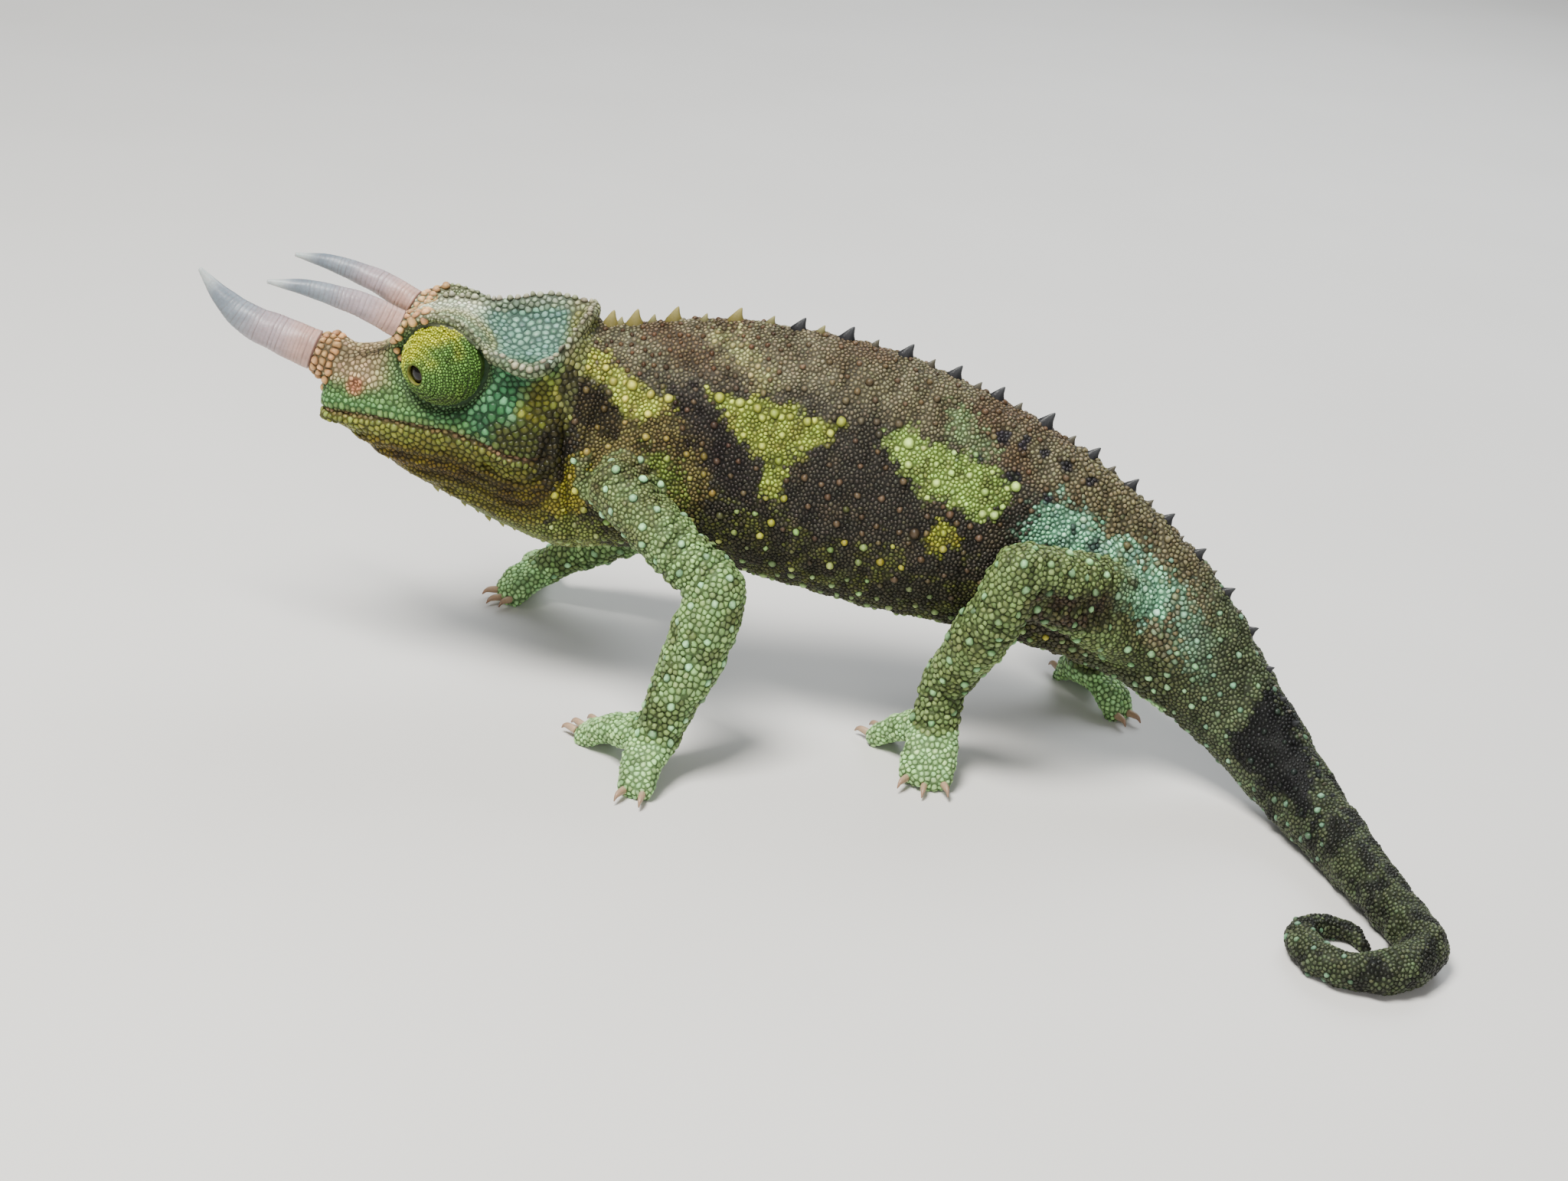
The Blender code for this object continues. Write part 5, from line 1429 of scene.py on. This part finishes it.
# Each eye is a turret: a ball of skin turned about the line of sight, closed but for a small round opening, and
# covered by rings of fine beads. It goes into the head behind a narrow groove. The eyeball shows in the opening.
PUPIL_TURN = (-2.6, 3.5, -0.8)
EYEBALL_RADIUS = 1.25
EYEBALL_DEPTH = 1.55
EYEBALL_SIDES = 48
EYEBALL_SEAT = EYE_RADIUS - EYEBALL_DEPTH
LID_OPENING = 0.95
LID_EDGE = 0.2
LID_SCALE = 0.15
LID_CUP = EYEBALL_RADIUS + 0.08
TURRET_SIDES = 180
TURRET_ROWS = 100
TURRET_BACK = math.radians(124)
LAST_LID_RING = math.radians(106)
TURRET_CROWN = math.asin((LID_OPENING + LID_EDGE) / EYE_RADIUS)
SIDES = (("right", 1), ("left", -1))
TURRET_SHADE = (26, 32, 14)


def lean_direction(point, sign=1):
    return (lean(point, sign) - lean((0, 0, 0))).normalized()


def eye_place(sign):
    """Where an eye looks, its centre, and the turn that takes +Z to where it looks, with +X towards the back."""
    gaze = lean_direction(PUPIL_TURN, sign)
    side = Z_AXIS.cross(gaze).normalized()
    return gaze, lean(EYE_SOCKET, sign), np.array(Matrix((gaze.cross(side) * -1, side * -1, gaze)).transposed())


def arc(radius, angles, height=0.0):
    """A profile of radius and height round a ball's centre, by the angle from its top."""
    return [(radius * math.sin(a), height + radius * math.cos(a)) for a in angles]


def lathe_points(profile, sides):
    """Rows of points about +Z from a profile of radius and height, for as many turns as there are sides."""
    turn = circle(sides)
    radius, height = profile[:, :1], profile[:, 1:]
    return np.stack((radius * np.cos(turn), radius * np.sin(turn), np.broadcast_to(height, (len(profile), sides))), 2)


def lathe_faces(rows, sides):
    """The quads between rows of a lathe, and the fans that close its two ends at two further points."""
    m = np.arange(sides)
    onward, last = (m + 1) % sides, (rows - 1) * sides
    first_end = np.stack((onward, m, np.full(sides, rows * sides)), 1)
    second_end = np.stack((last + m, last + onward, np.full(sides, rows * sides + 1)), 1)
    quads = [ring_quads(k, sides) for k in range(rows - 1)]
    return np.concatenate([*quads, first_end.ravel(), second_end.ravel()]), np.repeat((4, 3), (last, 2 * sides))


def face_outward(piece):
    builder = bmesh.new()
    builder.from_mesh(piece.data)
    close_up(builder, piece)


def lathe(name, grid, ends):
    """A closed mesh from a grid of rows of points and the two points that close it, with its own map."""
    rows, sides = grid.shape[:2]
    corners, sizes = lathe_faces(rows, sides)
    share = np.repeat(np.linspace(0.02, 0.48, rows), sides)
    places = 0.5 + share[:, None] * on_circle(np.tile(circle(sides), rows))
    places = np.concatenate([places, [(0.5, 0.5), (0.5, 0.995)]])
    piece = numpy_mesh(name, np.concatenate([grid.reshape(-1, 3), ends]), corners, sizes, places)
    face_outward(piece)
    return piece


def turret_angle(points):
    return np.arccos(np.clip(points[:, 2] / EYE_RADIUS, -1, 1))


def turret_folds(points):
    """The folds in wavy rings at points of a ball about its own +Z: 1 on a crest and -1 in a furrow."""
    away = EYE_RADIUS * (turret_angle(points) - TURRET_CROWN)
    return np.cos(2 * math.pi * (away / 0.62 + 0.5 * noise(points, 2.4, 53)))


def turret_relief(points):
    """How far the turret's skin stands in or out, at points of a ball about its own +Z."""
    angle = turret_angle(points)
    depth = 0.05 + 0.03 * step_up(angle, 0.7, 1.3)
    groove = nearness(angle - math.radians(80) - 0.03 * noise(points, 2.0, 54), 0.035)
    return -0.15 + depth * turret_folds(points) + 0.05 * noise(points, 1.0, 52) - 0.16 * groove


def turret_colours(points, way, sign):
    """The turret's colour at points on it, way being each point's direction from the turret's centre."""
    toward = 0.7 * way[:, 2] - 0.5 * way[:, 0] - 0.1 * sign * way[:, 1]
    return layered(
        plain(len(points), (92, 134, 58)),
        ((190, 196, 34), step_up(toward + 0.3 * noise(points, 1.3, 21), 0.05, 0.6)),
        ((112, 146, 62), patches(points, 0.9, 22, 0.15, 0.6) * 0.6),
        ((58, 74, 30), patches(points, 0.7, 23, 0.3, 0.7) * 0.6),
        ((64, 74, 36), step_up(-way[:, 2], 0.25, 0.7) * 0.6),
    )


def on_ball(tilts, turns):
    return np.stack((np.sin(tilts) * np.cos(turns), np.sin(tilts) * np.sin(turns), np.cos(tilts)), 1)


turret_material = scaly_material("turret", 0.5, 0.09, 0.015, 0.15)
lid_roots = []


def turret(side, sign):
    """The turret's skin: the cup round the eyeball, the lid's lip, and the ball outside."""
    _, centre, turn = eye_place(sign)
    centre = np.array(centre)
    inner = arc(LID_CUP, np.linspace(math.pi - 0.05, math.asin(LID_OPENING / LID_CUP), 12), EYEBALL_SEAT)
    lip = [(LID_OPENING + out, EYE_RADIUS - down) for out, down in ((-0.02, 0.36), (0.03, 0.24), (0.1, 0.2))]
    outer = arc(EYE_RADIUS, np.linspace(TURRET_CROWN, TURRET_BACK, TURRET_ROWS))
    grid = lathe_points(np.array(inner + lip + outer), TURRET_SIDES)
    local = grid[-TURRET_ROWS:].reshape(-1, 3)
    grid[-TURRET_ROWS:] = scaled(local, 1 + turret_relief(local) / EYE_RADIUS).reshape(grid[-TURRET_ROWS:].shape)
    points = grid.reshape(-1, 3) @ turn.T + centre
    end_heights = (EYEBALL_SEAT - LID_CUP, EYE_RADIUS * math.cos(TURRET_BACK) - 0.3)
    ends = [centre + turn @ np.array((0, 0, height)) for height in end_heights]
    piece = lathe("eye_turret_" + side, points.reshape(grid.shape), ends)
    # The turret's skin under its scales is darkened with painted shade in the gaps, and the cup round the eyeball is
    # painted dark as shade.
    colours = 0.35 * turret_colours(points, unit(points - centre), sign)
    colours = layered(colours, (TURRET_SHADE, np.full(len(points), 0.4)))
    lip_start = TURRET_SIDES * (len(inner) - 1)
    colours[:lip_start] = paint(*TURRET_SHADE)
    colours[lip_start:lip_start + 3 * TURRET_SIDES] = paint(96, 98, 40)
    store_colours(piece.data, np.concatenate([colours, plain(2, TURRET_SHADE)]))
    finish_piece(piece, turret_material)
    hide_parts("eyelid_" + side)
    plant_lid(centre, turn, sign, len(inner) + len(lip), len(grid))


def plant_lid(centre, turn, sign, rows_before, rows):
    """The roots of a turret's scales, which stand in rings from the opening to the groove."""
    angle = TURRET_CROWN + 0.02
    while angle < LAST_LID_RING:
        count = round(2 * math.pi * EYE_RADIUS * math.sin(angle) / (2.1 * LID_SCALE))
        turns = (np.arange(count) + strew.random() + strew.uniform(-0.3, 0.3, count)) * (2 * math.pi / count)
        tilts = angle + strew.uniform(-0.3, 0.3, count) * 2 * LID_SCALE / EYE_RADIUS
        tilts = tilts + 0.05 * noise(on_ball(tilts, turns) * EYE_RADIUS, 2.2, 55)
        local = on_ball(tilts, turns)
        row = rows_before + (tilts - TURRET_CROWN) / (TURRET_BACK - TURRET_CROWN) * TURRET_ROWS
        share = 0.02 + 0.46 * row / rows
        lift = EYE_RADIUS + turret_relief(local * EYE_RADIUS)
        at = scaled(local, lift) @ turn.T + centre
        shade = 1.14 - 0.52 * step_up(-turret_folds(local * EYE_RADIUS), -0.1, 0.8)
        colours = scaled(turret_colours(at, local @ turn.T, sign), shade)
        lid_roots.append((at, local @ turn.T, 0.5 + share[:, None] * on_circle(turns), colours))
        angle += 1.75 * LID_SCALE / EYE_RADIUS


def lid_scales():
    """The scales of both turrets as one piece, a few of them larger and higher than the rest."""
    root, normal, places, colours = (np.concatenate([row[k] for row in lid_roots]) for k in range(4))
    count = len(root)
    radius = LID_SCALE * strew.uniform(0.8, 1.3, count)
    big = strew.random(count) < 0.012
    radius[big] *= 1.5
    height = np.where(big, 0.2, 0.09 * strew.uniform(0.7, 1.3, count))
    colours = scaled(colours, strew.uniform(0.68, 1.32, count))
    bed = Bed(root, normal, places, radius, height, big.astype(float), colours)
    finish_piece(scale_piece("scales_eyelids", bed, np.arange(count)), scale_material)


eye_gloss = scaly_material("eyeball", 0.2, 0.05, 0.0002, 0.1)
set_sockets(eye_gloss.node_tree.nodes["Principled BSDF"], {"Coat Weight": 0.35, "Coat Roughness": 0.03})
PUPIL, IRIS_RING, IRIS_DARK = (10, 9, 9), (34, 25, 15), (16, 12, 9)


def eyeball(side, sign):
    """A ball whose front is the pupil, inside a thin bronze ring."""
    gaze, centre, turn = eye_place(sign)
    seat = np.array(centre + gaze * EYEBALL_SEAT)
    angles = np.linspace(0.03, math.pi - 0.03, 40)
    grid = lathe_points(np.array(arc(EYEBALL_RADIUS, angles)), EYEBALL_SIDES) @ turn.T + seat
    ends = [seat + turn @ np.array((0, 0, height)) for height in (EYEBALL_RADIUS, -EYEBALL_RADIUS)]
    piece = lathe("eyeball_" + side, grid, ends)
    colours = layered(
        plain(len(angles), PUPIL),
        (IRIS_RING, nearness(angles - 0.54, 0.07)),
        (IRIS_DARK, step_up(angles, 0.62, 0.7)),
    )
    whole = [np.repeat(colours, EYEBALL_SIDES, axis=0), plain(1, PUPIL), plain(1, IRIS_DARK)]
    store_colours(piece.data, np.concatenate(whole))
    finish_piece(piece, eye_gloss)
    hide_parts("eye_" + side)


for side, sign in SIDES:
    turret(side, sign)
    eyeball(side, sign)
lid_scales()

# The three horns are keratin cones with growth rings, rosy at the foot, blue-grey further on and pale at the point,
# with painted shade in the grooves between the rings.
HORN_SIDES = 40
HORN_ROWS = 150
HORN_PITCH = 0.42
HORN_RINGS = 60
RING_DEPTH = 0.07
HORN_POINT = 0.04
horn_random = np.random.default_rng(11)
keratin = scaly_material("horn", 0.42, 0.12, 0.01, 0.45)
set_sockets(keratin.node_tree.nodes["Principled BSDF"], {"Subsurface Weight": 0.12, "Subsurface Scale": 0.0006})


def rings_along(centre, radius, side, over, sides):
    """Rows of rings round centres, from the reach of each ring to its side and over."""
    turn = circle(sides)
    return centre[:, None] + radius * (side * np.cos(turn)[None, :, None] + over * np.sin(turn)[None, :, None])


def horn(name, sign, keys, radii):
    """A tube through the horn's keys, its growth rings uneven and fading towards the point."""
    rows = np.array(smooth_rows([(*lean(key, sign), radius) for key, radius in zip(keys, radii)], 24))
    steps = np.linalg.norm(np.diff(rows[:, :3], axis=0), axis=1)
    travel = np.concatenate([[0], np.cumsum(steps)])
    wanted = np.linspace(0, travel[-1], HORN_ROWS)
    centre = np.stack([np.interp(wanted, travel, rows[:, k]) for k in range(3)], 1)
    radius = np.interp(wanted, travel, rows[:, 3])
    ahead = unit(np.gradient(centre, axis=0))
    side = unit(np.cross(ahead, (0.0, 0.0, 1.0)))
    over = np.cross(side, ahead)
    turn = circle(HORN_SIDES)
    edges = np.cumsum(horn_random.uniform(0.7, 1.3, HORN_RINGS) * HORN_PITCH)
    ring = np.searchsorted(edges, wanted)
    low = np.concatenate([[0], edges])[ring]
    share = (wanted - low) / (edges[ring] - low)
    depth = horn_random.uniform(0.5, 1.0, HORN_RINGS + 1)[ring]
    relief = 1 - (2 * share - 1) ** 6
    fade = step_up(-wanted, -travel[-1], -travel[-1] * 0.45)
    along_horn = wanted[:, None]
    wave = 0.03 * np.sin(3 * turn[None] + along_horn * 1.1) + 0.02 * np.sin(5 * turn[None] - along_horn * 2.3)
    thick = radius[:, None] * (1 - 0.03 + wave * 0.6) - RING_DEPTH * (depth * (1 - relief) * fade)[:, None]
    thick = np.maximum(thick, HORN_POINT)[..., None]
    grid = rings_along(centre, thick, side[:, None], over[:, None], HORN_SIDES)
    piece = lathe(name, grid, [centre[0] - ahead[0] * 0.9, centre[-1] + ahead[-1] * 0.08])
    place = wanted / travel[-1]
    colours = layered(
        plain(HORN_ROWS, (176, 142, 130)),
        ((152, 138, 142), step_up(place, 0.05, 0.32)),
        ((122, 130, 138), step_up(place, 0.34, 0.6)),
        ((92, 104, 114), nearness(place - 0.74, 0.1) * 0.6),
        ((166, 174, 172), step_up(place, 0.8, 0.97)),
        ((84, 62, 54), (1 - relief) * fade * 0.6),
    )
    whole = scaled(np.repeat(colours, HORN_SIDES, axis=0), 1 + 0.12 * noise(grid.reshape(-1, 3), 0.7, 31))
    store_colours(piece.data, np.concatenate([whole, colours[:1], colours[-1:]]))
    finish_piece(piece, keratin)
    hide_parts(name)


horn("horn_rostral", 1, ROSTRAL_HORN, ROSTRAL_RADII)
for side, sign in SIDES:
    horn("horn_" + side, sign, BROW_HORN, BROW_RADII)

# The crest of the back is a row of soft thorns that lean to the tail, a smaller pale one before each. They, and the
# small cones under the throat, are skin drawn out to a point, with their feet sunk among the scales.
SPINE_SPACING = 4.3
NECK_SPACING = 1.15
SPINES_START = -19.0
NECK_END = -13.5
SHRINK_START = 22.0
SHRINK_LENGTH = 34.0
SHRINK = 0.72
SMALL_SPINE = 0.52
SPINE_HEIGHT = 1.55
SPINE_LENGTH = 2.0
SPINE_WIDTH = 1.1
THORN_SIDES = 14
THORN_LEAN = 0.3
THORN_RINGS = np.array((-0.42, -0.1, 0.12, 0.32, 0.5, 0.66, 0.8, 0.91, 0.98, 1.0))
THORN_THICK = np.array((1.0, 1.0, 0.86, 0.68, 0.52, 0.38, 0.26, 0.16, 0.08, 0.03))
CONE_COUNT = 13
CONES_START = -43.8
CONE_SPACING = 1.35
BELOW_THROAT = 8.0
CONE_COLOURS = ((96, 98, 40), (150, 150, 84))
thorn_random = np.random.default_rng(5)
skin_tree = BVHTree.FromPolygons(
    [tuple(point) for point in skin_points], [tuple(polygon.vertices) for polygon in skin.data.polygons]
)
thorn_parts = []


def thorn(base, up, backward, height, length, width, colours):
    """A bent cone with an oval foot, as a grid of rings, and the colour of each ring."""
    side = up.cross(backward).normalized()
    base, up, backward, side = (np.array(v) for v in (base, up, backward, side))
    grown = np.clip(THORN_RINGS, 0, 1)
    centre = base + up * (height * THORN_RINGS)[:, None] + backward * (THORN_LEAN * height * grown**1.6)[:, None]
    ridged = THORN_THICK[:, None] * (1 + 0.05 * np.cos(4 * circle(THORN_SIDES)[None] + 7 * THORN_RINGS[:, None]))
    grid = rings_along(centre, ridged[..., None], backward * (0.5 * length), side * (0.5 * width), THORN_SIDES)
    foot, tip = (paint(*colour) for colour in colours)
    thorn_parts.append((grid, foot + (tip - foot) * (grown**1.4)[:, None]))


def thorn_piece(name, material):
    """Joins the thorns made so far into one mesh, and starts the list again."""
    points, corners, sizes, colours, places = [], [], [], [], []
    start = 0
    for number, (grid, shades) in enumerate(thorn_parts):
        rows, sides = grid.shape[:2]
        own_corners, own_sizes = lathe_faces(rows, sides)
        points.append(np.concatenate([grid.reshape(-1, 3), [grid[0].mean(0), grid[-1].mean(0)]]))
        corners.append(own_corners + start)
        sizes.append(own_sizes)
        colours.append(np.concatenate([np.repeat(shades, sides, axis=0), shades[:1], shades[-1:]]))
        middle = np.array((0.05 + 0.1 * (number % 10), 0.05 + 0.1 * (number // 10 % 10)))
        spread = on_circle(np.tile(circle(sides), rows)) * np.repeat(np.linspace(0.04, 0.005, rows), sides)[:, None]
        places.append(np.concatenate([middle + spread, [middle + (0.045, 0)], [middle]]))
        start += rows * sides + 2
    thorn_parts.clear()
    piece = numpy_mesh(name, *(np.concatenate(rows) for rows in (points, corners, sizes, places)))
    store_colours(piece.data, np.concatenate(colours))
    face_outward(piece)
    finish_piece(piece, material)


def dorsal_spines():
    """A thorn wherever the way along the back comes to the next one due, large and small in turn."""
    rows = smooth_rows(SPINE_ROWS, 12)
    travelled, due, small = 0.0, 1.0, False
    for start, end in zip(rows, rows[1:]):
        way = Vector(end[:3]) - Vector(start[:3])
        travelled += way.length
        x = start[0]
        if x < SPINES_START or travelled < due:
            continue
        along_back = way.normalized()
        _, up = frame_at(start[7], start[5], start[6])
        up = (up - along_back * up.dot(along_back)).normalized()
        base = skin_tree.ray_cast(Vector(start[:3]) + up * (start[3] + 6.0), -up)[0]
        share = min(max((x - SHRINK_START) / SHRINK_LENGTH, 0.0), 1.0)
        if small:
            size = (1 - SHRINK * share) * SMALL_SPINE
            colours = ((92, 88, 56), (146, 142, 96)) if x < 2.0 else ((56, 52, 42), (88, 86, 74))
        else:
            size = (1 - SHRINK * share) * (thorn_random.uniform(0.85, 1.08) * (0.92 if x < -8.0 else 1.0))
            colours = ((98, 90, 46), (146, 138, 84)) if x < -4.0 else ((26, 26, 28), (60, 62, 64))
        width = SPINE_WIDTH * max(size, 0.55)
        thorn(base, up, along_back, SPINE_HEIGHT * size, SPINE_LENGTH * size, width, colours)
        due = travelled + (0.5 * SPINE_SPACING * (1 - 0.4 * share) if x > NECK_END else NECK_SPACING)
        small = not small
        if share >= 1.0:
            break


dorsal_spines()
thorn_piece("dorsal_spines", scale_material)
upward = lean_direction((0, 0, 1))
for k in range(CONE_COUNT):
    x = CONES_START + CONE_SPACING * k + thorn_random.uniform(-0.2, 0.2)
    below_throat = lean((x, 0.0, BELOW_THROAT))
    hit = skin_tree.ray_cast(below_throat, upward)[0]
    if hit is not None:
        size = thorn_random.uniform(0.35, 0.6)
        thorn(hit, -upward, X_AXIS, size, 1.5 * size, 1.2 * size, CONE_COLOURS)
thorn_piece("gular_cones", scale_material)

# Claws are hooked cones of horn, tan at the root and brown at the point, one to each toe. Each is drawn from keys
# past the knuckle: its share of the length, its rise and its radius.
CLAW_LENGTH = 1.15
CLAW_WIDTH = 0.8
CLAW_ROOT = (0.3, 0.42)
KNUCKLE = 0.7
CLAW_KEYS = ((0.2, 0.4, 0.36), (0.65, 0.26, 0.22), (0.95, -0.12, 0.06))
CLAW_COLOURS = ((176, 150, 122), (132, 104, 82))


def claw(path):
    """A claw at the end of a toe, along the way that the toe points."""
    end = Vector(path[-1][:3])
    reach = end - Vector(path[-2][:3])
    reach.z = 0
    reach.normalize()
    knuckle = end + reach * KNUCKLE
    root_rise, root_radius = CLAW_ROOT
    keys = [(*(end + Vector((0, 0, root_rise))), root_radius)]
    for share, rise, radius in CLAW_KEYS:
        keys.append((*(knuckle + reach * share * CLAW_LENGTH + Vector((0, 0, rise))), radius))
    rows = np.array(smooth_rows(keys, 5))
    side = np.array((-reach.y, reach.x, 0.0))
    over = np.cross(side, unit(np.gradient(rows[:, :3], axis=0)))
    grid = rings_along(rows[:, :3], rows[:, 3][:, None, None], CLAW_WIDTH * side, over[:, None], THORN_SIDES)
    grid[..., 2] = np.maximum(grid[..., 2], 0.02)
    root_colour, tip_colour = (paint(*colour) for colour in CLAW_COLOURS)
    thorn_parts.append((grid, root_colour + (tip_colour - root_colour) * np.linspace(0, 1, len(rows))[:, None]))


for leg in LEGS.values():
    for path in toe_paths(leg):
        claw(path)
thorn_piece("claws", keratin)
